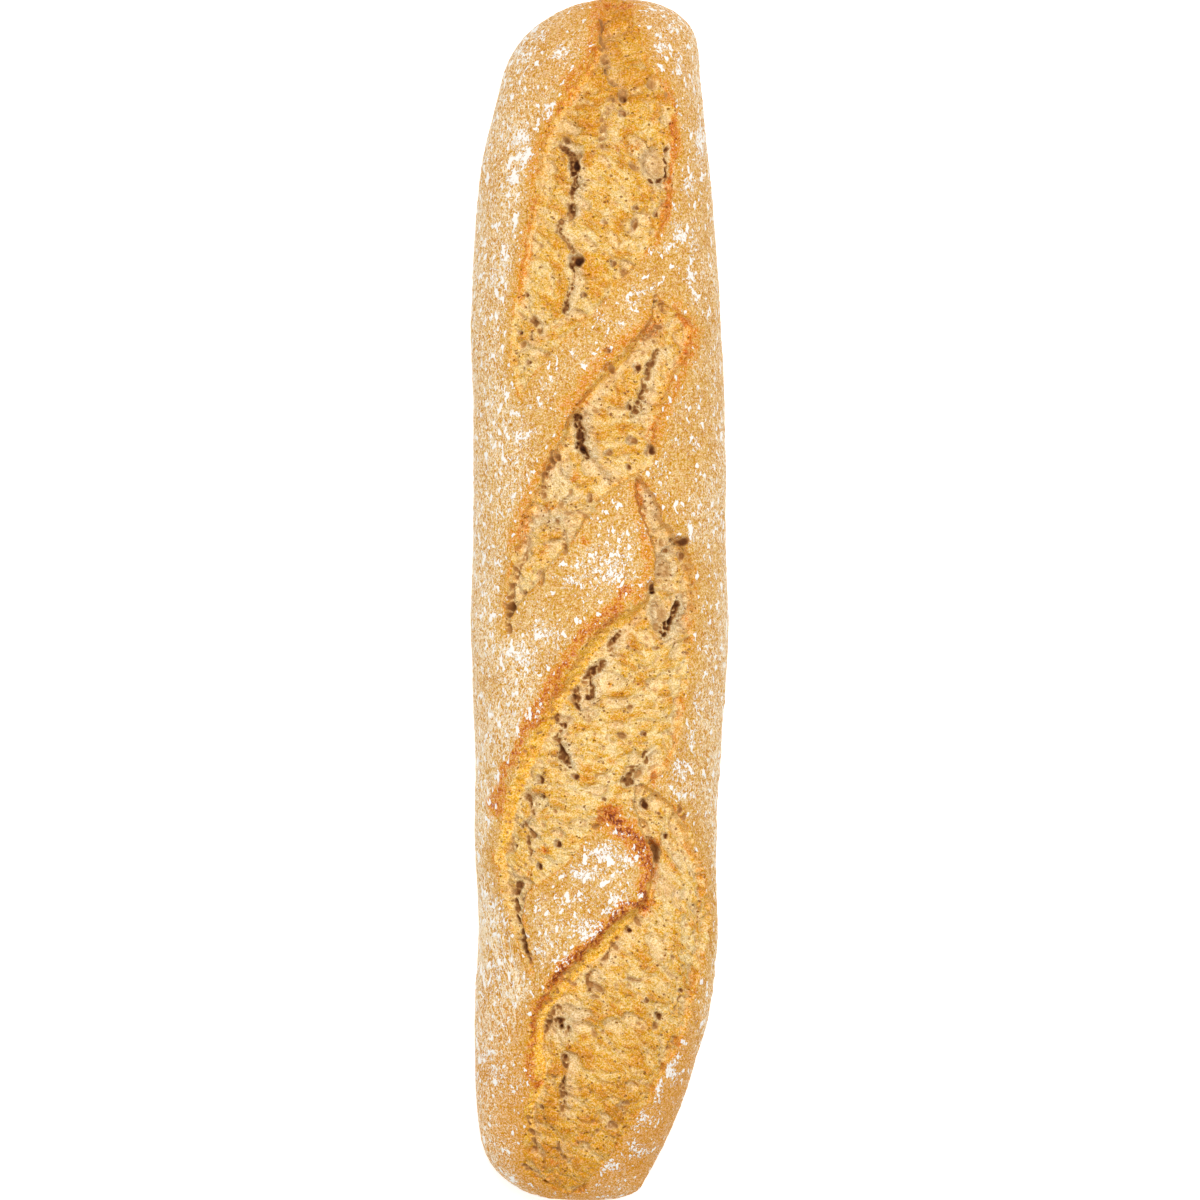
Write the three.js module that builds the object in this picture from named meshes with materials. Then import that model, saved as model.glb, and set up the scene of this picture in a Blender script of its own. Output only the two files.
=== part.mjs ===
// Farmhouse loaf: a long, flat-based stick of bread with a floured crust and four slanting openings
// along its crown, where the slashed dough burst. The crust left between them lies across the crown as
// slanting tongues, whose edges over the next opening lift into lips.
// Millimetres. X is across the loaf, +Y along it, +Z up from the flat base, and the origin is in the
// middle of the base.
import * as THREE from "three";
import { mergeVertices } from "three/addons/utils/BufferGeometryUtils.js";

// ---- Driving dimensions ----
const LENGTH = 400;
const GIRTH_LEVEL = 23; // height at which the loaf is widest, and of the tips of its two ends
const DOME_POWER = 2.25; // superellipse power of a section above the girth
const BELLY_POWER = 2.7; // and below it
const BELLY_DROP = 1.1; // the belly's full depth as a share of the girth's: what passes the base is cut flat

// How the ends round off, seen from above on each side and from the side: [length taken, power].
const FAR_LEFT_ROUND = [28, 2.1];
const FAR_RIGHT_ROUND = [20, 2.5];
const NEAR_LEFT_ROUND = [30, 2.6];
const NEAR_RIGHT_ROUND = [5, 2.4];
const CROWN_ROUND = [42, 2.1];
const BASE_ROUND = [17, 2.1];

// The body between the rounded ends. Along Y: the two sides, the crown's height and the middle line.
const SIDES = [
  // y, left, right
  [200, -28.5, 32.3],
  [172, -33, 33.4],
  [140, -40, 36.7],
  [100, -42.6, 39.8],
  [60, -42.1, 41.6],
  [20, -42.3, 41.7],
  [-7, -42.8, 42.8],
  [-50, -41.7, 40.2],
  [-80, -41, 38.6],
  [-110, -40.5, 39],
  [-135, -41.6, 36.2],
  [-160, -41.5, 29.8],
  [-180, -40.3, 21.9],
  [-200, -39.5, 11.4],
];
const CROWN = [
  [200, 50],
  [150, 54],
  [90, 56],
  [20, 57],
  [-50, 56],
  [-120, 54],
  [-165, 50],
  [-200, 45],
];
const MIDDLE = [
  [200, 7],
  [150, 2],
  [80, 0],
  [-80, 0],
  [-150, -3],
  [-200, -5],
];

// The openings, from the far end to the near one. Each runs along Y between its two torn edges.
// A lip is how far the crust rises at an edge, and a drop is how far the crumb lies below it there.
// The swell is how far the burst crumb stands proud between them.
const OPENINGS = [
  {
    edges: [
      // y, left, right
      [199.5, 0, 9],
      [187, -1, 14],
      [177, -5, 17],
      [167, -12, 24],
      [155, -18, 25],
      [140, -21, 25],
      [125, -23.5, 21.5],
      [112, -26, 13],
      [100, -27.5, 3],
      [87, -29.5, -10],
      [77, -29.5, -20],
      [67, -27, -26.5],
    ],
    leftLip: [[200, 1.5], [175, 2.5], [150, 2], [120, 1.6], [90, 0.8], [67, 0]],
    leftDrop: [[200, 1], [180, 2.5], [150, 2], [120, 1.5], [67, 1]],
    rightLip: [[200, 0], [175, 0.8], [155, 1.6], [130, 1.8], [115, 0.6], [67, 0]],
    rightDrop: [[200, 0.3], [160, 1.6], [125, 1.6], [105, 0.3], [67, 0.3]],
    swell: 1.8,
  },
  {
    edges: [
      [99, 17.5, 20],
      [93, 15.5, 29],
      [88, 12.5, 31.5],
      [80, 5, 28.5],
      [70, -4.5, 22.5],
      [60, -10.3, 19.3],
      [51, -14, 19],
      [43, -19.5, 16],
      [35, -21.5, 2],
      [27, -26.5, -3.5],
      [17, -28, -10.5],
      [5, -30.5, -21],
      [-4, -31.6, -28],
      [-10, -31.3, -30.7],
    ],
    leftLip: [[99, 0.5], [90, 2], [70, 2.8], [55, 2.2], [35, 1.2], [10, 0.8], [-10, 0]],
    leftDrop: [[99, 2], [85, 3.5], [55, 3.5], [30, 2.5], [0, 2.5], [-10, 1]],
    rightLip: [[99, 0], [88, 1.8], [70, 1.5], [50, 0.8], [30, 1], [-10, 0]],
    rightDrop: [[99, 1], [75, 2.2], [50, 1.6], [30, 2.2], [0, 2], [-10, 0.5]],
    swell: 1.2,
  },
  {
    edges: [
      [41, 12, 13],
      [33, 12, 19],
      [25, 14.5, 22],
      [17, 17, 28.5],
      [8, 17.5, 31],
      [-1, 12.5, 31.5],
      [-7, 1, 31],
      [-17, -7.5, 30],
      [-30, -15.5, 28.5],
      [-43, -22, 26.3],
      [-55, -27, 23],
      [-66, -31.3, 11],
      [-77, -33.3, -1.5],
      [-88, -34, -12],
      [-97, -32.3, -23.5],
      [-110, -28, -24.5],
      [-123, -22.8, -22.2],
    ],
    leftLip: [[41, 0.5], [25, 2], [10, 3.6], [-5, 4], [-20, 3.6], [-45, 2.6], [-75, 1.6], [-123, 0]],
    leftDrop: [[41, 2], [10, 4.5], [-5, 4], [-25, 3.4], [-60, 2.8], [-90, 2.4], [-123, 0.5]],
    rightLip: [[41, 0.5], [20, 1.4], [0, 1], [-20, 0.4], [-50, 1.4], [-60, 1.2], [-75, 0.4], [-123, 0]],
    rightDrop: [[41, 2], [15, 3.5], [-5, 2.6], [-14, 0.4], [-60, 1.5], [-80, 0.4], [-100, 1.4], [-123, 0.5]],
    swell: 2.2,
  },
  {
    edges: [
      [-61, 11.5, 16],
      [-68, 10.5, 24],
      [-75, 12.5, 28.5],
      [-83, 16.8, 31],
      [-91, 15.5, 34],
      [-98, 13, 36],
      [-103, 7, 36],
      [-110, 0, 35.8],
      [-117, -8, 34],
      [-125, -15.5, 32.5],
      [-133, -21, 30.6],
      [-145, -23.6, 26.5],
      [-158, -22.4, 20.5],
      [-170, -25.2, 13],
      [-182, -24.6, 5],
      [-190, -24, -1],
      [-197, -14, -6],
    ],
    leftLip: [[-61, 0.5], [-72, 2.5], [-83, 4.8], [-102, 5], [-118, 4], [-133, 3.4], [-148, 2], [-197, 0]],
    leftDrop: [[-61, 2.5], [-80, 5], [-100, 4.6], [-120, 3.8], [-145, 2.8], [-170, 1.5], [-197, 0.3]],
    rightLip: [[-61, 0.6], [-80, 1], [-120, 0.8], [-150, 1.2], [-180, 0.3], [-197, 0]],
    rightDrop: [[-61, 2], [-80, 2.6], [-100, 1.4], [-150, 1], [-180, 0.4], [-197, 0]],
    swell: 2.4,
  },
];
const LIP_REACH = 7; // how far back from an edge a lip has mostly gone
const DROP_REACH = 9; // how far into an opening a drop has mostly gone
const WALL_WIDTH = 1.3; // width of the torn wall between lip and crumb, seen from above
const RELIEF_FADE = 8; // height above the girth over which all relief fades in
const RELIEF_LEAN = 0.35; // relief rises nearly upright: this share of the surface's own lean is kept

// The deepest tears inside the openings, each a narrow gorge down its own line from far to near.
const TEARS = [
  // depth, half-width, line as [x, y] places
  [2.4, 2.4, [[0.5, 190], [3, 172], [5, 166]]],
  [1.8, 1.8, [[1, 160], [1.5, 150], [3, 146]]],
  [3.2, 2.2, [[-10, 148], [-8.5, 140], [-9.5, 128], [-13, 121], [-9, 111], [-10, 100], [-13, 90]]],
  [2, 2, [[17, 88], [14, 83], [11, 81]]],
  [2, 2, [[20, 80], [16, 75], [13, 66], [12, 60]]],
  [3.6, 2.2, [[-9, 60], [-7, 51], [-4, 47]]],
  [2.4, 2, [[-16, 49], [-19, 38], [-17, 32]]],
  [2.2, 2.2, [[-4, 34], [-10, 25], [-11, 16]]],
  [2.6, 1.8, [[5.5, -11], [-1, -21], [-4.5, -27], [-5, -33]]],
  [2.8, 2, [[-15, -38], [-14, -47], [-11, -54], [-8, -59]]],
  [2.4, 2, [[13.5, -45], [14.5, -52], [10, -60]]],
  [2, 1.8, [[-20, -58], [-25, -68], [-24, -82], [-28, -94], [-24, -111]]],
  [2.2, 2.2, [[10, -108], [0, -117], [-3, -128]]],
  [2.6, 2, [[-14, -137], [-15, -145], [-11, -152], [-12, -168], [-12, -185]]],
];

// Slow unevenness of hand-shaped dough: waves as [height, X length, Y length, phase].
const WAVES = [
  [0.5, 61, 83, 0.4],
  [0.4, 37, 58, 2.1],
  [0.25, 23, 31, 4],
];

// Mesh steps: along the loaf, over its top and under its base.
const LENGTH_STEPS = 118;
const TOP_STEPS = 38;
const BASE_STEPS = 10;
const END_CROWDING = 0.1; // how strongly the steps crowd towards the two ends
const CROWN_CROWDING = 0.3; // and towards the crown
const OUTLINE_STEPS = 60; // points along each torn edge, to measure distances from
const LEAST_SPACING = 1; // the least distance between two neighbouring points once they follow the edges

const { clamp, smoothstep } = THREE.MathUtils;

// 0, 1, 2 and so on, up to and with the count.
function steps(count) {
  return Array.from({ length: count + 1 }, (_, i) => i);
}

// A smooth function through [at, value] stations, in any order of at, level beyond the first and last.
function curveThrough(stations) {
  const points = [...stations].sort((a, b) => a[0] - b[0]);
  const last = points.length - 1;
  const slope = (i) => {
    const a = points[Math.max(0, i - 1)];
    const b = points[Math.min(last, i + 1)];
    return (b[1] - a[1]) / (b[0] - a[0]);
  };
  const slopes = points.map((_, i) => slope(i));
  return (at) => {
    if (at <= points[0][0]) return points[0][1];
    if (at >= points[last][0]) return points[last][1];
    const i = points.findIndex((p) => p[0] > at) - 1;
    const width = points[i + 1][0] - points[i][0];
    const t = (at - points[i][0]) / width;
    const rise = 3 * t * t - 2 * t * t * t;
    const leave = t * (1 - t) * (1 - t) * width * slopes[i];
    const arrive = t * t * (t - 1) * width * slopes[i + 1];
    return points[i][1] * (1 - rise) + points[i + 1][1] * rise + leave + arrive;
  };
}

// 0 at an end's tip and 1 from the rounding's length on, round between them.
function roundOff(distance, [length, power]) {
  const left = 1 - clamp(distance / length, 0, 1);
  return Math.pow(1 - Math.pow(left, power), 1 / power);
}

const leftSide = curveThrough(SIDES.map(([y, left]) => [y, left]));
const rightSide = curveThrough(SIDES.map(([y, , right]) => [y, right]));
const crown = curveThrough(CROWN);
const middle = curveThrough(MIDDLE);

// The section at y: its middle, its half-widths, and its reach above and below the girth.
function sectionAt(y) {
  const far = LENGTH / 2 - y;
  const near = LENGTH / 2 + y;
  const x = middle(y);
  const rise = roundOff(far, CROWN_ROUND) * roundOff(near, CROWN_ROUND);
  const sink = roundOff(far, BASE_ROUND) * roundOff(near, BASE_ROUND);
  return {
    x,
    left: (x - leftSide(y)) * roundOff(far, FAR_LEFT_ROUND) * roundOff(near, NEAR_LEFT_ROUND),
    right: (rightSide(y) - x) * roundOff(far, FAR_RIGHT_ROUND) * roundOff(near, NEAR_RIGHT_ROUND),
    dome: (crown(y) - GIRTH_LEVEL) * rise,
    belly: GIRTH_LEVEL * BELLY_DROP * sink,
  };
}

// The smooth loaf's surface at y, at an angle round the section: 0 at the left, a quarter turn on top.
function smoothLoaf(y, angle) {
  const section = sectionAt(y);
  const across = -Math.cos(angle);
  const up = Math.sin(angle);
  const power = 2 / (up > 0 ? DOME_POWER : BELLY_POWER);
  const reach = across > 0 ? section.right : section.left;
  const depth = up > 0 ? section.dome : section.belly;
  return new THREE.Vector3(
    section.x + Math.sign(across) * reach * Math.pow(Math.abs(across), power),
    y,
    Math.max(0, GIRTH_LEVEL + Math.sign(up) * depth * Math.pow(Math.abs(up), power)),
  );
}

// The nearest place to a point on a line of [x, y] places.
function nearestOnLine([x, y], line) {
  let nearest = line[0];
  for (let i = 1; i < line.length; i += 1) {
    const [ax, ay] = line[i - 1];
    const [bx, by] = line[i];
    const length = (bx - ax) ** 2 + (by - ay) ** 2;
    const t = clamp(((x - ax) * (bx - ax) + (y - ay) * (by - ay)) / length, 0, 1);
    const place = [ax + t * (bx - ax), ay + t * (by - ay)];
    if (distance([x, y], place) < distance([x, y], nearest)) nearest = place;
  }
  return nearest;
}

function distance([ax, ay], [bx, by]) {
  return Math.hypot(bx - ax, by - ay);
}

function distanceToLine(place, line) {
  return distance(place, nearestOnLine(place, line));
}

// An opening's two edges as functions and as lines, with its lips and drops as functions of y.
function openingFrom({ edges, leftLip, leftDrop, rightLip, rightDrop, swell }) {
  const left = curveThrough(edges.map(([y, x]) => [y, x]));
  const right = curveThrough(edges.map(([y, , x]) => [y, x]));
  const far = edges[0][0];
  const near = edges[edges.length - 1][0];
  const levels = steps(OUTLINE_STEPS).map((i) => far + ((near - far) * i) / OUTLINE_STEPS);
  return {
    swell,
    leftLine: levels.map((y) => [left(y), y]),
    rightLine: levels.map((y) => [right(y), y]),
    leftLip: curveThrough(leftLip),
    leftDrop: curveThrough(leftDrop),
    rightLip: curveThrough(rightLip),
    rightDrop: curveThrough(rightDrop),
    isInside: ([x, y]) => y < far && y > near && x > left(y) && x < right(y),
  };
}

const openings = OPENINGS.map(openingFrom);

// How far the opening lifts or sinks the crust at a place seen from above.
function openingRelief(opening, place) {
  const y = place[1];
  const toLeft = distanceToLine(place, opening.leftLine);
  const toRight = distanceToLine(place, opening.rightLine);
  const leftLip = opening.leftLip(y) * Math.exp(-toLeft / LIP_REACH);
  const rightLip = opening.rightLip(y) * Math.exp(-toRight / LIP_REACH);
  if (!opening.isInside(place)) return leftLip + rightLip;
  const edge = smoothstep(Math.min(toLeft, toRight), 0, WALL_WIDTH);
  const leftDrop = opening.leftDrop(y) * Math.exp(-toLeft / DROP_REACH);
  const rightDrop = opening.rightDrop(y) * Math.exp(-toRight / DROP_REACH);
  const share = toLeft / (toLeft + toRight + 1e-6);
  const width = Math.min(1, (toLeft + toRight) / (2 * DROP_REACH));
  const swell = opening.swell * width * Math.sin(Math.PI * share);
  return (leftLip + rightLip) * (1 - edge) + (swell - leftDrop - rightDrop) * edge;
}

function tearRelief([depth, halfWidth, line], place) {
  return -depth * Math.exp(-((distanceToLine(place, line) / halfWidth) ** 2));
}

function waveRelief([height, acrossLength, alongLength, phase], [x, y]) {
  const turn = 2 * Math.PI;
  return height * Math.sin((turn * x) / acrossLength + phase) * Math.cos((turn * y) / alongLength + phase);
}

// All that shapes the crust beyond the smooth loaf. It fades out below the girth.
function relief({ x, y, z }) {
  const onTop = smoothstep(z, GIRTH_LEVEL, GIRTH_LEVEL + RELIEF_FADE);
  if (onTop === 0) return 0;
  const waves = WAVES.reduce((sum, wave) => sum + waveRelief(wave, [x, y]), 0);
  const cut = openings.reduce((sum, opening) => sum + openingRelief(opening, [x, y]), 0);
  const torn = TEARS.reduce((sum, tear) => sum + tearRelief(tear, [x, y]), 0);
  return (waves + cut + torn) * onTop;
}

const SLIGHT = 0.02; // the step, along the loaf and round it, over which the outward direction is measured

function outward(y, angle) {
  const along = smoothLoaf(y + SLIGHT, angle).sub(smoothLoaf(y - SLIGHT, angle));
  const round = smoothLoaf(y, angle + SLIGHT).sub(smoothLoaf(y, angle - SLIGHT));
  return along.cross(round).negate().normalize();
}

// The angle at which the section's top passes a given x.
function angleAtX(section, x) {
  const reach = x > section.x ? section.right : section.left;
  const across = Math.pow(Math.min(1, Math.abs(x - section.x) / reach), DOME_POWER / 2);
  return Math.acos(x > section.x ? -across : across);
}

// The crust over a place seen from above.
function crustOver([x, y]) {
  const angle = angleAtX(sectionAt(y), x);
  const point = smoothLoaf(y, angle);
  const height = relief(point);
  if (height === 0) return point;
  const lean = outward(y, angle).multiply(new THREE.Vector3(RELIEF_LEAN, RELIEF_LEAN, 1)).normalize();
  return point.addScaledVector(lean, height);
}

// Where a mesh ring lies along the loaf, for a share from 0 at the far tip to 1 at the near one.
function ringY(share) {
  const half = share < 0.5 ? share * 2 : (1 - share) * 2;
  const inwards = (half * half * (1 + END_CROWDING)) / (half + END_CROWDING);
  return (share < 0.5 ? 1 : -1) * (LENGTH / 2) * (1 - inwards);
}

// The angle of a step over the top, crowded over the crown.
function topAngle(step) {
  const side = (2 * step) / TOP_STEPS - 1;
  const crowded = side * (1 - CROWN_CROWDING) + side ** 3 * CROWN_CROWDING;
  return (Math.PI / 2) * (1 + crowded);
}

// The lines the mesh must run along: the openings' edges and the tears. A side is 1 or -1, or 0 past
// the ends of a tear.
function creaseLines() {
  const edges = openings.map((opening) => ({
    line: [...opening.leftLine, ...[...opening.rightLine].reverse()],
    side: (place) => (opening.isInside(place) ? 1 : -1),
  }));
  const gorges = TEARS.map(([, , line]) => {
    const across = curveThrough(line.map(([x, y]) => [y, x]));
    const [far, near] = [line[0][1], line[line.length - 1][1]];
    return { line, side: ([x, y]) => (y > far || y < near ? 0 : Math.sign(x - across(y))) };
  });
  return [...edges, ...gorges];
}

// The places next to a place of a grid, itself left out.
function neighbours(grid, ring, step) {
  const rings = grid.slice(Math.max(0, ring - 1), ring + 2);
  const around = rings.flatMap((places) => places.slice(Math.max(0, step - 1), step + 2));
  return around.filter((place) => place !== grid[ring][step]);
}

// The grid's places that lie nearest a crease: of every two neighbours on opposite sides, the nearer.
function placesAlong(crease, grid) {
  const found = new Map();
  grid.forEach((places, ring) =>
    places.forEach((place, step) => {
      for (const [otherRing, otherStep] of [[ring + 1, step], [ring, step + 1]]) {
        const other = grid[otherRing]?.[otherStep];
        if (!other || crease.side(place) * crease.side(other) >= 0) continue;
        const isNearer = distanceToLine(place, crease.line) < distanceToLine(other, crease.line);
        const [foundRing, foundStep] = isNearer ? [ring, step] : [otherRing, otherStep];
        found.set(`${foundRing} ${foundStep}`, [foundRing, foundStep]);
      }
    }),
  );
  return found;
}

// Moves the grid's places next to a crease onto it, apart from the grid's rim, those already moved and
// those that would come too close to another.
function alignTo(crease, grid, moved) {
  for (const [key, [ring, step]] of placesAlong(crease, grid)) {
    const target = nearestOnLine(grid[ring][step], crease.line);
    const isInner = ring > 0 && ring < grid.length - 1 && step > 0 && step < TOP_STEPS;
    const isClear = neighbours(grid, ring, step).every((other) => distance(other, target) > LEAST_SPACING);
    if (!isInner || !isClear || moved.has(key)) continue;
    grid[ring][step] = target;
    moved.add(key);
  }
}

// The loaf's rings of points, each over the top from left to right, back under the base and closed.
function loafRings() {
  const levels = steps(LENGTH_STEPS).slice(1, -1).map((i) => ringY(i / LENGTH_STEPS));
  const grid = levels.map((y) => steps(TOP_STEPS).map((step) => [smoothLoaf(y, topAngle(step)).x, y]));
  const moved = new Set();
  creaseLines().forEach((crease) => alignTo(crease, grid, moved));
  const baseAngles = steps(BASE_STEPS).slice(1, -1).map((i) => Math.PI * (1 + i / BASE_STEPS));
  return grid.map((places, ring) => {
    const top = places.map(crustOver);
    const base = baseAngles.map((angle) => smoothLoaf(levels[ring], angle));
    return [...top, ...base, top[0]];
  });
}

// Turns a cell's diagonal where its other one is shorter, so that ridges run clean through the mesh.
function turnDiagonals(geometry, columns) {
  const position = geometry.getAttribute("position");
  const index = geometry.getIndex();
  const point = (i) => new THREE.Vector3().fromBufferAttribute(position, i);
  const tipIndices = columns * 3;
  for (let i = tipIndices; i < index.count - tipIndices; i += 6) {
    const [a, b, d, c] = [0, 1, 2, 4].map((corner) => index.getX(i + corner));
    if (point(a).distanceTo(point(c)) < point(b).distanceTo(point(d))) {
      [a, b, c, a, c, d].forEach((vertex, corner) => index.setX(i + corner, vertex));
    }
  }
}

// A unit sphere with its axis along the loaf gives the closed mesh. Each ring of its points is moved to
// a ring of the loaf.
function loafGeometry() {
  const columns = TOP_STEPS + BASE_STEPS;
  const geometry = new THREE.SphereGeometry(1, columns, LENGTH_STEPS);
  const position = geometry.getAttribute("position");
  const tipRing = (y) => steps(columns).map(() => new THREE.Vector3(middle(y), y, GIRTH_LEVEL));
  const rings = [tipRing(LENGTH / 2), ...loafRings(), tipRing(-LENGTH / 2)];
  rings.flat().forEach((point, i) => position.setXYZ(i, point.x, point.y, point.z));
  turnDiagonals(geometry, columns);
  geometry.deleteAttribute("normal");
  geometry.deleteAttribute("uv");
  const closed = mergeVertices(geometry, 1e-3);
  closed.computeBoundingBox();
  const { min, max } = closed.boundingBox;
  closed.translate(-(min.x + max.x) / 2, -(min.y + max.y) / 2, -min.z);
  closed.computeVertexNormals();
  return closed;
}

const crust = new THREE.MeshStandardMaterial({ color: 0xe3b87c, roughness: 0.85, metalness: 0 });
const loaf = new THREE.Mesh(loafGeometry(), crust);
loaf.name = "loaf";

const part = new THREE.Group();
part.add(loaf);
export default part;
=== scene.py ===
# Farmhouse loaf: the floured crust and the burst crumb of a long slashed loaf, as one fine mesh.
#
# The loaf's surface is worked out in millimetres, in the frame of its solid: x across the loaf, y along it
# and z up from the flat base. It is the solid's own form, with the pores, folds and cracks that the solid
# leaves out. The mesh, the stage and the camera are in metres.
import math

import bpy
import numpy as np
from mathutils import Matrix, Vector

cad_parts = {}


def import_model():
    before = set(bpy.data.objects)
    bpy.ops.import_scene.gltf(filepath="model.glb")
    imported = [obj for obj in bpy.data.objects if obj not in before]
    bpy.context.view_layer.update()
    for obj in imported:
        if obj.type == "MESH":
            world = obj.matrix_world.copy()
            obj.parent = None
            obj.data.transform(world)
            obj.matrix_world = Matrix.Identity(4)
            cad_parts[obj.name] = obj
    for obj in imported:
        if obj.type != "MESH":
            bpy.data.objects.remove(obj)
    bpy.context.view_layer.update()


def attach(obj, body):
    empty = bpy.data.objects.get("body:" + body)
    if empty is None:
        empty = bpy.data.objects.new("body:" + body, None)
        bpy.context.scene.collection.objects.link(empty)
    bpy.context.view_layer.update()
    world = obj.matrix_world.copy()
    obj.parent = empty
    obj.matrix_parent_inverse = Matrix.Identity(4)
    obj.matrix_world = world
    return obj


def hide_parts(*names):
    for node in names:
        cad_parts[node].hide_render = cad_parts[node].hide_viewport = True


MM = 0.001

# ---- The loaf's form, as its solid has it ----
LENGTH = 400.0
GIRTH_LEVEL = 23.0  # height at which the loaf is widest, and of the tips of its two ends
DOME_POWER = 2.25  # superellipse power of a section above the girth
BELLY_POWER = 2.7  # and below it
BELLY_DROP = 1.1  # the belly's full depth as a share of the girth's: what passes the base is flat

# How the ends round off, seen from above on each side and from the side: (length taken, power).
FAR_LEFT_ROUND = (28, 2.1)
FAR_RIGHT_ROUND = (20, 2.5)
NEAR_LEFT_ROUND = (30, 2.6)
NEAR_RIGHT_ROUND = (5, 2.4)
CROWN_ROUND = (42, 2.1)
BASE_ROUND = (17, 2.1)

# The body between the rounded ends, along y: the two sides, the crown's height and the middle line.
SIDES = [
    # y, left, right
    (200, -28.5, 32.3),
    (172, -33, 33.4),
    (140, -40, 36.7),
    (100, -42.6, 39.8),
    (60, -42.1, 41.6),
    (20, -42.3, 41.7),
    (-7, -42.8, 42.8),
    (-50, -41.7, 40.2),
    (-80, -41, 38.6),
    (-110, -40.5, 39),
    (-135, -41.6, 36.2),
    (-160, -41.5, 29.8),
    (-180, -40.3, 21.9),
    (-200, -39.5, 11.4),
]
CROWN = [(200, 50), (150, 54), (90, 56), (20, 57), (-50, 56), (-120, 54), (-165, 50), (-200, 45)]
MIDDLE = [(200, 7), (150, 2), (80, 0), (-80, 0), (-150, -3), (-200, -5)]

# The openings, from the far end to the near one. Each runs along y between its two torn edges. A lip is
# how far the crust rises at an edge, and a drop is how far the crumb lies below it there. The scarp is
# the width of the torn face below the left lip, and the swell is how far the crumb stands proud.
OPENINGS = [
    {
        "edges": [
            # y, left, right
            (199.5, 0, 9),
            (187, -1, 14),
            (177, -5, 17),
            (167, -12, 24),
            (155, -18, 25),
            (140, -21, 25),
            (125, -23.5, 21.5),
            (112, -26, 13),
            (100, -27.5, 3),
            (87, -29.5, -10),
            (77, -29.5, -20),
            (67, -27, -26.5),
        ],
        "left_lip": [(200, 1.5), (175, 2.5), (150, 2), (120, 1.6), (90, 0.8), (67, 0)],
        "left_drop": [(200, 1), (180, 2.5), (150, 2), (120, 1.5), (67, 1)],
        "scarp": [(200, 2), (175, 3), (150, 2.5), (67, 1.5)],
        "right_lip": [(200, 0), (175, 0.8), (155, 1.6), (130, 1.8), (115, 0.6), (67, 0)],
        "right_drop": [(200, 0.3), (160, 1.6), (125, 1.6), (105, 0.3), (67, 0.3)],
        "swell": 1.8,
    },
    {
        "edges": [
            (99, 17.5, 20),
            (93, 15.5, 29),
            (88, 12.5, 31.5),
            (80, 5, 28.5),
            (70, -4.5, 22.5),
            (60, -10.3, 19.3),
            (51, -14, 19),
            (43, -19.5, 16),
            (35, -21.5, 2),
            (27, -26.5, -3.5),
            (17, -28, -10.5),
            (5, -30.5, -21),
            (-4, -31.6, -28),
            (-10, -31.3, -30.7),
        ],
        "left_lip": [(99, 0.5), (90, 2), (70, 2.8), (55, 2.2), (35, 1.2), (10, 0.8), (-10, 0)],
        "left_drop": [(99, 2), (85, 3.5), (55, 3.5), (30, 2.5), (0, 2.5), (-10, 1)],
        "scarp": [(99, 1.5), (80, 3), (55, 2.5), (-10, 1.5)],
        "right_lip": [(99, 0), (88, 1.8), (70, 1.5), (50, 0.8), (30, 1), (-10, 0)],
        "right_drop": [(99, 1), (75, 2.2), (50, 1.6), (30, 2.2), (0, 2), (-10, 0.5)],
        "swell": 1.2,
    },
    {
        "edges": [
            (41, 12, 13),
            (33, 12, 19),
            (25, 14.5, 22),
            (17, 17, 28.5),
            (8, 17.5, 31),
            (-1, 12.5, 31.5),
            (-7, 1, 31),
            (-17, -7.5, 30),
            (-30, -15.5, 28.5),
            (-43, -22, 26.3),
            (-55, -27, 23),
            (-66, -31.3, 11),
            (-77, -33.3, -1.5),
            (-88, -34, -12),
            (-97, -32.3, -23.5),
            (-110, -28, -24.5),
            (-123, -22.8, -22.2),
        ],
        "left_lip": [
            (41, 0.5), (25, 2), (10, 3.6), (-5, 4), (-20, 3.6), (-45, 2.6), (-75, 1.6), (-123, 0),
        ],
        "left_drop": [(41, 2), (10, 4.5), (-5, 4), (-25, 3.4), (-60, 2.8), (-90, 2.4), (-123, 0.5)],
        "scarp": [(41, 1), (5, 2), (-12, 5), (-45, 5), (-70, 3.5), (-123, 1.5)],
        "right_lip": [
            (41, 0.5), (20, 1.4), (0, 1), (-20, 0.4), (-50, 1.4), (-60, 1.2), (-75, 0.4), (-123, 0),
        ],
        "right_drop": [
            (41, 2), (15, 3.5), (-5, 2.6), (-14, 0.4), (-60, 1.5), (-80, 0.4), (-100, 1.4), (-123, 0.5),
        ],
        "swell": 2.2,
    },
    {
        "edges": [
            (-61, 11.5, 16),
            (-68, 10.5, 24),
            (-75, 12.5, 28.5),
            (-83, 16.8, 31),
            (-91, 15.5, 34),
            (-98, 13, 36),
            (-103, 7, 36),
            (-110, 0, 35.8),
            (-117, -8, 34),
            (-125, -15.5, 32.5),
            (-133, -21, 30.6),
            (-145, -23.6, 26.5),
            (-158, -22.4, 20.5),
            (-170, -25.2, 13),
            (-182, -24.6, 5),
            (-190, -24, -1),
            (-197, -14, -6),
        ],
        "left_lip": [
            (-61, 0.5), (-72, 2.5), (-83, 4.8), (-102, 5), (-118, 4), (-133, 3.4), (-148, 2), (-197, 0),
        ],
        "left_drop": [
            (-61, 2.5), (-80, 5), (-100, 4.6), (-120, 3.8), (-145, 2.8), (-170, 1.5), (-197, 0.3),
        ],
        "scarp": [(-61, 1.5), (-88, 2), (-103, 5), (-135, 5.5), (-165, 3.5), (-197, 1.5)],
        "right_lip": [(-61, 0.6), (-80, 1), (-120, 0.8), (-150, 1.2), (-180, 0.3), (-197, 0)],
        "right_drop": [(-61, 2), (-80, 2.6), (-100, 1.4), (-150, 1), (-180, 0.4), (-197, 0)],
        "swell": 2.4,
    },
]
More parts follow.
